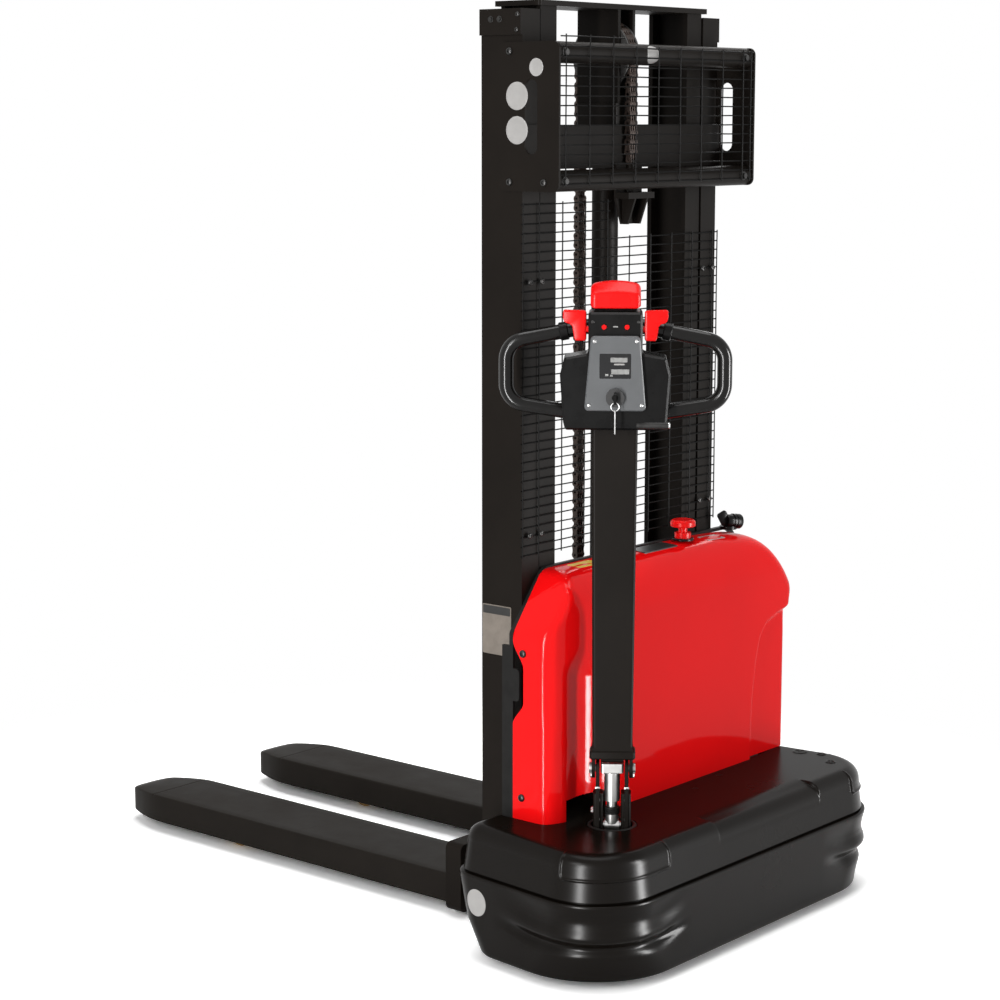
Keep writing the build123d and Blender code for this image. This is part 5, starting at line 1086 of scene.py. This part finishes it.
for name, settings in bolts.items():
    look = {**plainBolt, **settings}
    addMesh(name, merge([look["kind"](place, look["axis"], look["radius"]) for place in look["places"]]),
            look["finish"], look["body"])
print("fasteners in place")

# plain plates and discs; a disc's profile is in shares of its radius and its thickness
blankDiscs = dict(thick=0.0007, sides=40, profile=[(1, 0), (1, 0.6), (0.97, 1), (0.8, 1), (0.78, 0.75)],
                  places=[(-0.318, -0.428, 1.636, 0.026), (-0.318, -0.428, 1.573, 0.026),
                          (-0.318, -0.474, 1.688, 0.0165)])


def makeDisc(origin, radius):
    # a disc facing left whose middle lies a little below its rim
    profile = [(radius * wide, blankDiscs["thick"] * tall) for wide, tall in blankDiscs["profile"]]
    return lathe(profile, origin, leftward, blankDiscs["sides"])


addMesh("blankDiscs", merge([makeDisc(place[:3], place[3]) for place in blankDiscs["places"]]), "discWhite",
        "chassis")
dataPlate = dict(origin=np.array([-0.313, -0.375, 0.615]), wide=0.072, tall=0.098, thick=0.0012, corner=0.003)
plateStrip = dict(origin=dataPlate["origin"] + (-dataPlate["thick"], 0, 0.039), wide=0.068, tall=0.016,
                  thick=0.0006, corner=0.002)
for name, look, finish in (("blankDataPlate", dataPlate, "plateSilver"), ("dataPlateStrip", plateStrip, "plateDark")):
    addMesh(name, plate(roundRect(look["wide"], look["tall"], look["corner"]), look["thick"], look["origin"],
                        rearward, upward, leftward), finish, "chassis")
padCorner = 0.003
hoodPlates = dict(
    hoodDarkPlate=dict(finish="plateDark", origin=(0.062, -0.473, hoodTop), wide=0.112, deep=0.042, thick=0.0022),
    hoodWhitePad=dict(finish="discWhite", origin=(0.247, -0.485, hoodTop), wide=0.062, deep=0.030, thick=0.0006),
    hoodYellowPad=dict(finish="padYellow", origin=(-0.166, -0.474, hoodTop), wide=0.07, deep=0.034, thick=0.0006))
for name, look in hoodPlates.items():
    outline = roundRect(look["wide"], look["deep"], padCorner)
    addMesh(name, onHood(plate(outline, look["thick"], look["origin"], rightward, onward, upward)), look["finish"],
            "chassis")
skirtDisc = dict(y=-0.449, z=0.119, radius=0.0262, sideFrom=-0.4, rearFrom=-0.62)


def onSkirt(shape):
    # moves a shape made at x = 0 onto the left side of the base, level by level
    points, faces = shape
    points = np.array(points, float)
    for z in np.unique(points[:, 2]):
        level = points[:, 2] == z
        ring = planRing(0, baseForm["corner"], np.interp(z, *baseForm["toe"]), planPlaces)[0]
        left = ring[(ring[:, 0] < skirtDisc["sideFrom"]) & (ring[:, 1] > skirtDisc["rearFrom"])][::-1]
        points[level, 0] += np.interp(points[level, 1], left[:, 1], left[:, 0])
    return points, faces


addMesh("blankSkirtDisc", onSkirt(makeDisc((0, skirtDisc["y"], skirtDisc["z"]), skirtDisc["radius"])), "discWhite",
        "chassis")

# plain disc wrapped round the upper guard tube, its rings as a share of its radius and a height
tubeDisc = dict(x=-0.0257, y=-0.5055, z=1.715, tube=0.020, radius=0.019, sides=40, rings=[
    (1, 0), (1, 0.0005), (0.96, 0.0008), (0.75, 0.0008), (0.5, 0.0008), (0.25, 0.0008), (0.05, 0.0008)])


def makeTubeDisc():
    # each ring is a circle rolled round the tube
    look, turn = tubeDisc, wholeTurn(tubeDisc["sides"])
    rings = []
    for share, height in look["rings"]:
        lean = look["radius"] * share * np.sin(turn) / look["tube"]
        rings.append(np.stack([look["x"] + look["radius"] * share * np.cos(turn),
                               look["y"] - (look["tube"] + height) * np.cos(lean),
                               look["z"] + (look["tube"] + height) * np.sin(lean)], 1))
    addMesh("blankTubeDisc", skin(rings), "discWhite", "chassis")


makeTubeDisc()
print("blank plates in place")

# marks on the display and the neck, as right, away, up, width, height and thickness
markCorner = 0.0008
tillerMarks = dict(
    displayBars=dict(finish="screenBar", marks=[
        (0.0066, -0.057, 1.1574, 0.031, 0.0086, 0.0004), (0.009, -0.057, 1.1357, 0.033, 0.009, 0.0004),
        (-0.0155, -0.057, 1.1297, 0.006, 0.004, 0.0004), (-0.007, -0.057, 1.1285, 0.005, 0.003, 0.0004),
        (0, -0.045, 1.2175, 0.009, 0.0026, 0.0005)]),
    displayGlow=dict(finish="discWhite", marks=[(0.0074, -0.057, 1.1494, 0.019, 0.003, 0.0004)]))
for name, look in tillerMarks.items():
    addMesh(name, merge([plate(roundRect(wide, tall, markCorner), thick, tillerSpot(x, y, z), tillerRight, upward,
                               -tillerAway) for x, y, z, wide, tall, thick in look["marks"]]), look["finish"],
            "tiller")

# handle tubes and their collars, with the corners of the right tube as right and up
loopForm = dict(tube=0.014, plane=0.004, bend=0.040, sides=36,
                corners=[(0.040, 1.216), (0.203, 1.184), (0.203, 1.073), (0.072, 1.052)])


def bentPath(corners, radius, steps=16):
    # straight runs joined by arcs of one radius
    corners = np.asarray(corners, float)
    part = np.linspace(0, 1, steps)[:, None]
    path = [corners[:1]]
    for before, here, after in zip(corners, corners[1:], corners[2:]):
        first, second = ((other - here) / np.linalg.norm(other - here) for other in (before, after))
        half = math.acos(first @ second) / 2
        sweep = math.pi - 2 * half
        centre = here + (first + second) / np.linalg.norm(first + second) * radius / math.sin(half)
        start, end = (here + side * radius / math.tan(half) - centre for side in (first, second))
        path.append(centre + (np.sin((1 - part) * sweep) * start + np.sin(part * sweep) * end) / math.sin(sweep))
    return np.vstack([*path, corners[-1:]])


loopPath = np.insert(bentPath(loopForm["corners"], loopForm["bend"]), 1, loopForm["plane"], axis=1)
piece = addMesh("handleTubes", merge([wire(fromTiller(loopPath * (side, 1, 1)), loopForm["tube"], loopForm["sides"])
                                      for side in (-1, 1)]), "gripCoat", "tiller")
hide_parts("handle_loops")
# profile in shares of the radius and the length
gripCollars = dict(near=0.088, far=0.104, radius=0.0172, sides=28,
                   profile=[(0.9, 0), (1, 0.1), (1, 0.9), (0.88, 1)])


def makeCollars():
    # a barrel round the upper run of each handle tube
    (inX, inZ), (outX, outZ) = loopForm["corners"][:2]
    slope = (outZ - inZ) / (outX - inX)
    shapes = []
    for side in (-1, 1):
        start, end = (tillerSpot(side * x, loopForm["plane"], inZ + slope * (x - inX))
                      for x in (gripCollars["near"], gripCollars["far"]))
        long = np.linalg.norm(end - start)
        profile = [(gripCollars["radius"] * wide, long * part) for wide, part in gripCollars["profile"]]
        shapes.append(lathe(profile, start, end - start, gripCollars["sides"]))
    return merge(shapes)


addMesh("gripCollars", makeCollars(), "headPlastic", "tiller")
headPin = dict(z=1.0352, away=-0.0405, near=0.040, far=0.0985, radius=0.0072,
               end=[(0.006, 0), (0.006, 0.002), (0.0045, 0.0035)])
addMesh("headPin", lathe([(headPin["radius"], 0), (headPin["radius"], headPin["far"] - headPin["near"])],
                         tillerSpot(headPin["near"], headPin["away"], headPin["z"]), tillerRight),
        "boltBlack", "tiller")
addMesh("headPinEnd", lathe(headPin["end"], tillerSpot(headPin["far"], headPin["away"], headPin["z"]), tillerRight),
        "chrome", "tiller")

# reversing switch: a visor-shaped cap whose top edge and front fold are arched
bellyForm = dict(half=0.0462, low=1.2502, front=-0.041, back=0.033, fold=(1.2765, 0.0045), top=(1.2935, 0.0065),
                 lip=-0.014, crown=0.012, backDrop=0.010, soft=0.006, lowSoft=0.004, endRound=0.009, most=0.0085,
                 crownDrop=0.001, foldOut=0.0005, sections=41, steps=6, sharp=60)


def makeBelly():
    # sections from left to right, drawn in at both ends as a quarter circle
    look, soft, lowSoft = bellyForm, bellyForm["soft"], bellyForm["lowSoft"]
    rings = []
    for x in look["half"] * np.sin(np.linspace(-np.pi / 2, np.pi / 2, look["sections"])):
        arch = 1 - (x / look["half"]) ** 2
        fold = look["fold"][0] + look["fold"][1] * arch
        top = look["top"][0] + look["top"][1] * arch
        over = max(0.0, (abs(x) - look["half"] + look["endRound"]) / look["endRound"])
        inset = look["endRound"] * (1 - math.sqrt(max(0.0, 1 - over * over)))
        corners = [(look["front"], look["low"], lowSoft), (look["back"], look["low"], lowSoft),
                   (look["back"], top - look["backDrop"], soft), (look["crown"], top - look["crownDrop"], soft),
                   (look["lip"], top, soft), (look["front"] - look["foldOut"], fold, soft)]
        loop = shrink(roundOutline(corners, look["steps"]), min(inset, look["most"]))
        rings.append(fromTiller(np.column_stack([np.full(len(loop), x), loop])))
    piece = addMesh("bellyCap", skin(rings), "controlRed", "belly_switch", look["sharp"])
    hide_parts("belly_switch")


makeBelly()
# folds as an inset and a height over the lowest
gaiter = dict(wide=0.080, deep=0.060, corner=0.008, away=-0.005, low=1.2442,
              folds=[(0.003, 0), (0, 0.0015), (0.003, 0.003), (0, 0.0044), (0.003, 0.0059)])
piece = addMesh("bellyGaiter", slab(roundRect(gaiter["wide"], gaiter["deep"], gaiter["corner"]), gaiter["folds"],
                                    tillerSpot(0, gaiter["away"], gaiter["low"]), tillerRight, tillerAway, upward),
                "sealRubber", "tiller")
tuple(tillerSpot(0, gaiter["away"], gaiter["low"]))
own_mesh(piece)

# throttle: two thumb levers with rounded edges on a shaft through the neck
throttleForm = dict(away=-0.030, thick=0.013, shaft=0.006, z=1.212, reach=0.054, corners=[
    (0.0535, 1.1905, 0.005), (0.0755, 1.1900, 0.006), (0.0785, 1.2080, 0.010), (0.0800, 1.2200, 0.007),
    (0.0935, 1.2235, 0.005), (0.0975, 1.2330, 0.006), (0.0965, 1.2478, 0.005), (0.0535, 1.2462, 0.005)],
    edge=[(0.0035, 0), (0.0012, 0.0009), (0, 0.0032)], steps=7, sharp=40)


def roundedDepths(thick, edge):
    # an edge given as insets and depths, on both faces of a plate centred on its plane
    half = thick / 2
    return [(inset, deep - half) for inset, deep in edge] + [(inset, half - deep) for inset, deep in edge[::-1]]


def makeThrottle():
    # the outline of one lever and its mirror image, with the shaft between them
    look = throttleForm
    outline = roundOutline(look["corners"], look["steps"])
    depths = roundedDepths(look["thick"], look["edge"])
    centre = tillerSpot(0, look["away"], 0)
    shapes = [slab(ring, depths, centre, tillerRight, upward, tillerAway)
              for ring in ((outline * (-1, 1))[::-1], outline)]
    shapes.append(lathe([(look["shaft"], 0), (look["shaft"], 2 * look["reach"])],
                        tillerSpot(-look["reach"], look["away"], look["z"]), tillerRight))
    piece = addMesh("thumbLevers", merge(shapes), "controlRed", "throttle", look["sharp"])
    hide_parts("throttle")


makeThrottle()

# charger cap: a ribbed rubber barrel on its spigot, with a pull tongue
capForm = dict(spigot=[(0.009, 0.7405), (0.009, 0.750)], foot=(0.330, -0.470, 0), centre=(0.337, -0.479, 0.7565),
               axis=(0.93, -0.34, -0.12), sides=40, spigotSides=28, sharp=40,
               profile=[(0.006, -0.021), (0.0125, -0.0205), (0.0138, -0.0185), (0.0138, -0.006), (0.0158, -0.0045),
                        (0.0158, 0.0005), (0.0145, 0.002), (0.0158, 0.0035), (0.0158, 0.0135), (0.0148, 0.0155),
                        (0.0118, 0.0158), (0.0108, 0.0135), (0.0095, 0.0125)])
tongue = dict(wide=0.022, tall=0.030, corner=0.005, thick=0.006, origin=(0.3135, -0.470, 0.7645), lean=-0.5,
              right=np.array([0.88, -0.47, 0.0]), edge=[(0.0015, 0), (0, 0.0012)])


def makeCap():
    # turned barrel and spigot, and the tongue leaning to the left
    right, lean = tongue["right"], tongue["lean"]
    up = math.sin(lean) * right + math.cos(lean) * upward
    out = np.cross(right, upward)
    shapes = [lathe(capForm["profile"], capForm["centre"], capForm["axis"], capForm["sides"]),
              lathe(capForm["spigot"], capForm["foot"], upward, capForm["spigotSides"]),
              slab(roundRect(tongue["wide"], tongue["tall"], tongue["corner"]),
                   roundedDepths(tongue["thick"], tongue["edge"]), tongue["origin"], np.cross(up, out), up, out)]
    piece = addMesh("chargerBarrel", merge(shapes), "headPlastic", "charger_cap", capForm["sharp"])
    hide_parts("charger_cap")


makeCap()
print("controls sculpted")

# shoe round the foot of the arm and washers on the lugs
armShoe = dict(wide=0.087, deep=0.045, corner=0.006, low=0.3925, high=0.4085, bevel=0.0025, wall=0.0045)
shoeRings = [(armShoe["bevel"], armShoe["low"]), (0, armShoe["low"] + armShoe["bevel"]),
             (0, armShoe["high"] - armShoe["bevel"]), (armShoe["bevel"], armShoe["high"]),
             (armShoe["wall"], armShoe["high"]), (armShoe["wall"], armShoe["low"])]
addMesh("armShoe", slab(roundRect(armShoe["wide"], armShoe["deep"], armShoe["corner"]), shoeRings,
                        tillerSpot(0, 0, 0), tillerRight, tillerAway, upward, True), "mastPaint", "tiller")
lugWashers = dict(side=0.0275, away=-0.0215, z=0.337, long=0.0095, radius=0.003, bevel=(0.0026, 0.0008), sides=16)


def makeWashers():
    # a bevelled disc on the axis of each lug
    look, (small, bevel) = lugWashers, lugWashers["bevel"]
    profile = [(small, 0), (look["radius"], bevel), (look["radius"], look["long"] - bevel), (small, look["long"])]
    starts = [tillerSpot(x - look["long"] / 2, look["away"], look["z"]) for x in (-look["side"], look["side"])]
    return merge([lathe(profile, start, tillerRight, look["sides"]) for start in starts])


addMesh("lugWashers", makeWashers(), "chrome", "steering")
# turned parts on the steering axis: sleeve and bellows of the gas spring's rod, and the boot in the base
turnedParts = dict(
    rodSleeve=dict(finish="springSteel", body="spring_rod", z=0.2630, sides=32, loop=False,
                   profile=[(0.0118, 0), (0.0128, 0.001), (0.0128, 0.0185), (0.0118, 0.0195)]),
    rodBellows=dict(finish="sealRubber", body="spring_rod", z=0.2828, sides=32, loop=False,
                    profile=[(0.0148, 0), (0.0154, 0.002), (0.0142, 0.004), (0.0154, 0.006), (0.0142, 0.008),
                             (0.0154, 0.010), (0.0148, 0.0125), (0.0115, 0.0132)]),
    tillerBoot=dict(finish="sealRubber", body="steering", z=0, sides=64, loop=True,
                    profile=[(0.0405, 0.2602), (0.0405, 0.2505), (0.0482, 0.2505), (0.0470, 0.2602),
                             (0.0442, 0.2612), (0.0425, 0.2612)]))
for name, look in turnedParts.items():
    addMesh(name, lathe(look["profile"], tillerSpot(0, 0, look["z"]), upward, look["sides"], look["loop"]),
            look["finish"], look["body"])
print("tiller details in place")

# black ring under the emergency stop
stopRing = dict(place=(0.160, -0.475, hoodTop), sides=40,
                profile=[(0.0172, 0), (0.0225, 0), (0.0225, 0.003), (0.021, 0.0045), (0.0172, 0.0045)])
addMesh("stopRing", lathe(stopRing["profile"], stopRing["place"], upward, stopRing["sides"], True), "headPlastic",
        "chassis")

# floor, light and camera; each lamp as width, height, power, place and aim
studio = dict(floor=3.2, fade=(1.0, 1.7), floorLit=(0.88, 0.88, 0.88), floorSeen=(1.6, 1.6, 1.6), floorRough=0.9,
              eye=(-3.780, -3.302, 1.597), yaw=49.9, pitch=9.1, lens=86.04, sensor=36, clip=100, ambient=0.3)
stripAim = (-0.4, -0.7, 0.5)
lamps = dict(
    keyLight=(1.2, 1.2, 45, (-4.0, -0.6, 2.9), (0, -0.4, 0.7)),
    topLight=(3.0, 3.0, 115, (0.0, -0.2, 4.6), (0, -0.2, 0)),
    sideLight=(2.0, 2.0, 40, (3.2, 1.4, 3.4), (0, -0.3, 0.8)),
    leftStrip=(0.3, 3.8, 155, (-4.3, -1.35, 0.5), stripAim),
    rightStrip=(0.3, 3.8, 90, (1.5, -4.2, 0.5), stripAim),
    leftSheen=(0.8, 3.8, 240, (-4.35, -1.35, 0.5), stripAim),
    rightSheen=(0.9, 3.8, 400, (1.5, -4.25, 0.5), stripAim))


def makeFloor():
    # a square that shows white, shades softly and fades out with distance
    half = studio["floor"]
    mesh = bpy.data.meshes.new("floor")
    mesh.from_pydata([(-half, -half, 0), (half, -half, 0), (half, half, 0), (-half, half, 0)], [], [(0, 1, 2, 3)])
    material = bpy.data.materials.new("paleFloor")
    material.use_nodes = True
    tree = material.node_tree
    seen = tree.nodes.new("ShaderNodeLightPath").outputs["Is Camera Ray"]
    far = tree.nodes.new("ShaderNodeVectorMath")
    far.operation = "LENGTH"
    link(tree, objectPlace(tree), far.inputs[0])
    values = {"Base Color": mixColour(tree, seen, studio["floorLit"], studio["floorSeen"]),
              "Roughness": studio["floorRough"], "Specular IOR Level": 0.0,
              "Alpha": rangeNode(tree, far.outputs["Value"], *studio["fade"], 1.0, 0.0, True)}
    for label, value in values.items():
        setOrLink(tree, tree.nodes["Principled BSDF"].inputs[label], value)
    mesh.materials.append(material)
    show("floor", mesh)


def makeSky():
    # white where it is seen or reflected, dimmer where it only lights
    world = bpy.data.worlds.new("studio")
    bpy.context.scene.world = world
    world.use_nodes = True
    tree = world.node_tree
    sky = tree.nodes["Background"]
    sky.inputs["Color"].default_value = (1, 1, 1, 1)
    path = tree.nodes.new("ShaderNodeLightPath").outputs
    seen = mathNode(tree, "MAXIMUM", path["Is Glossy Ray"], path["Is Transmission Ray"])
    seen = mathNode(tree, "MAXIMUM", seen, path["Is Camera Ray"])
    link(tree, rangeNode(tree, seen, 0.0, 1.0, studio["ambient"], 1.0), sky.inputs["Strength"])


def makeLamps():
    for name, (wide, tall, power, place, aim) in lamps.items():
        lamp = bpy.data.lights.new(name, "AREA")
        lamp.shape = "ELLIPSE" if wide == tall else "RECTANGLE"
        lamp.size = wide
        lamp.size_y = tall
        lamp.energy = power
        holder = show(name, lamp)
        holder.location = place
        holder.visible_diffuse = not name.endswith("Sheen")  # the sheen panels show in reflections alone
        away = np.array(place) - np.array(aim)
        lean = math.acos(away[2] / np.linalg.norm(away))
        holder.rotation_euler = (lean, 0, math.atan2(away[1], away[0]) + math.pi / 2)


def makeCamera():
    camera = bpy.data.cameras.new("camera")
    camera.lens = studio["lens"]
    camera.sensor_width = studio["sensor"]
    camera.clip_end = studio["clip"]
    viewer = show("camera", camera)
    viewer.location = studio["eye"]
    viewer.rotation_euler = (math.radians(90 - studio["pitch"]), 0, math.radians(-studio["yaw"]))
    bpy.context.scene.camera = viewer
    bpy.context.scene.view_settings.view_transform = "Standard"


makeFloor()
makeSky()
makeLamps()
makeCamera()
print("studio ready")
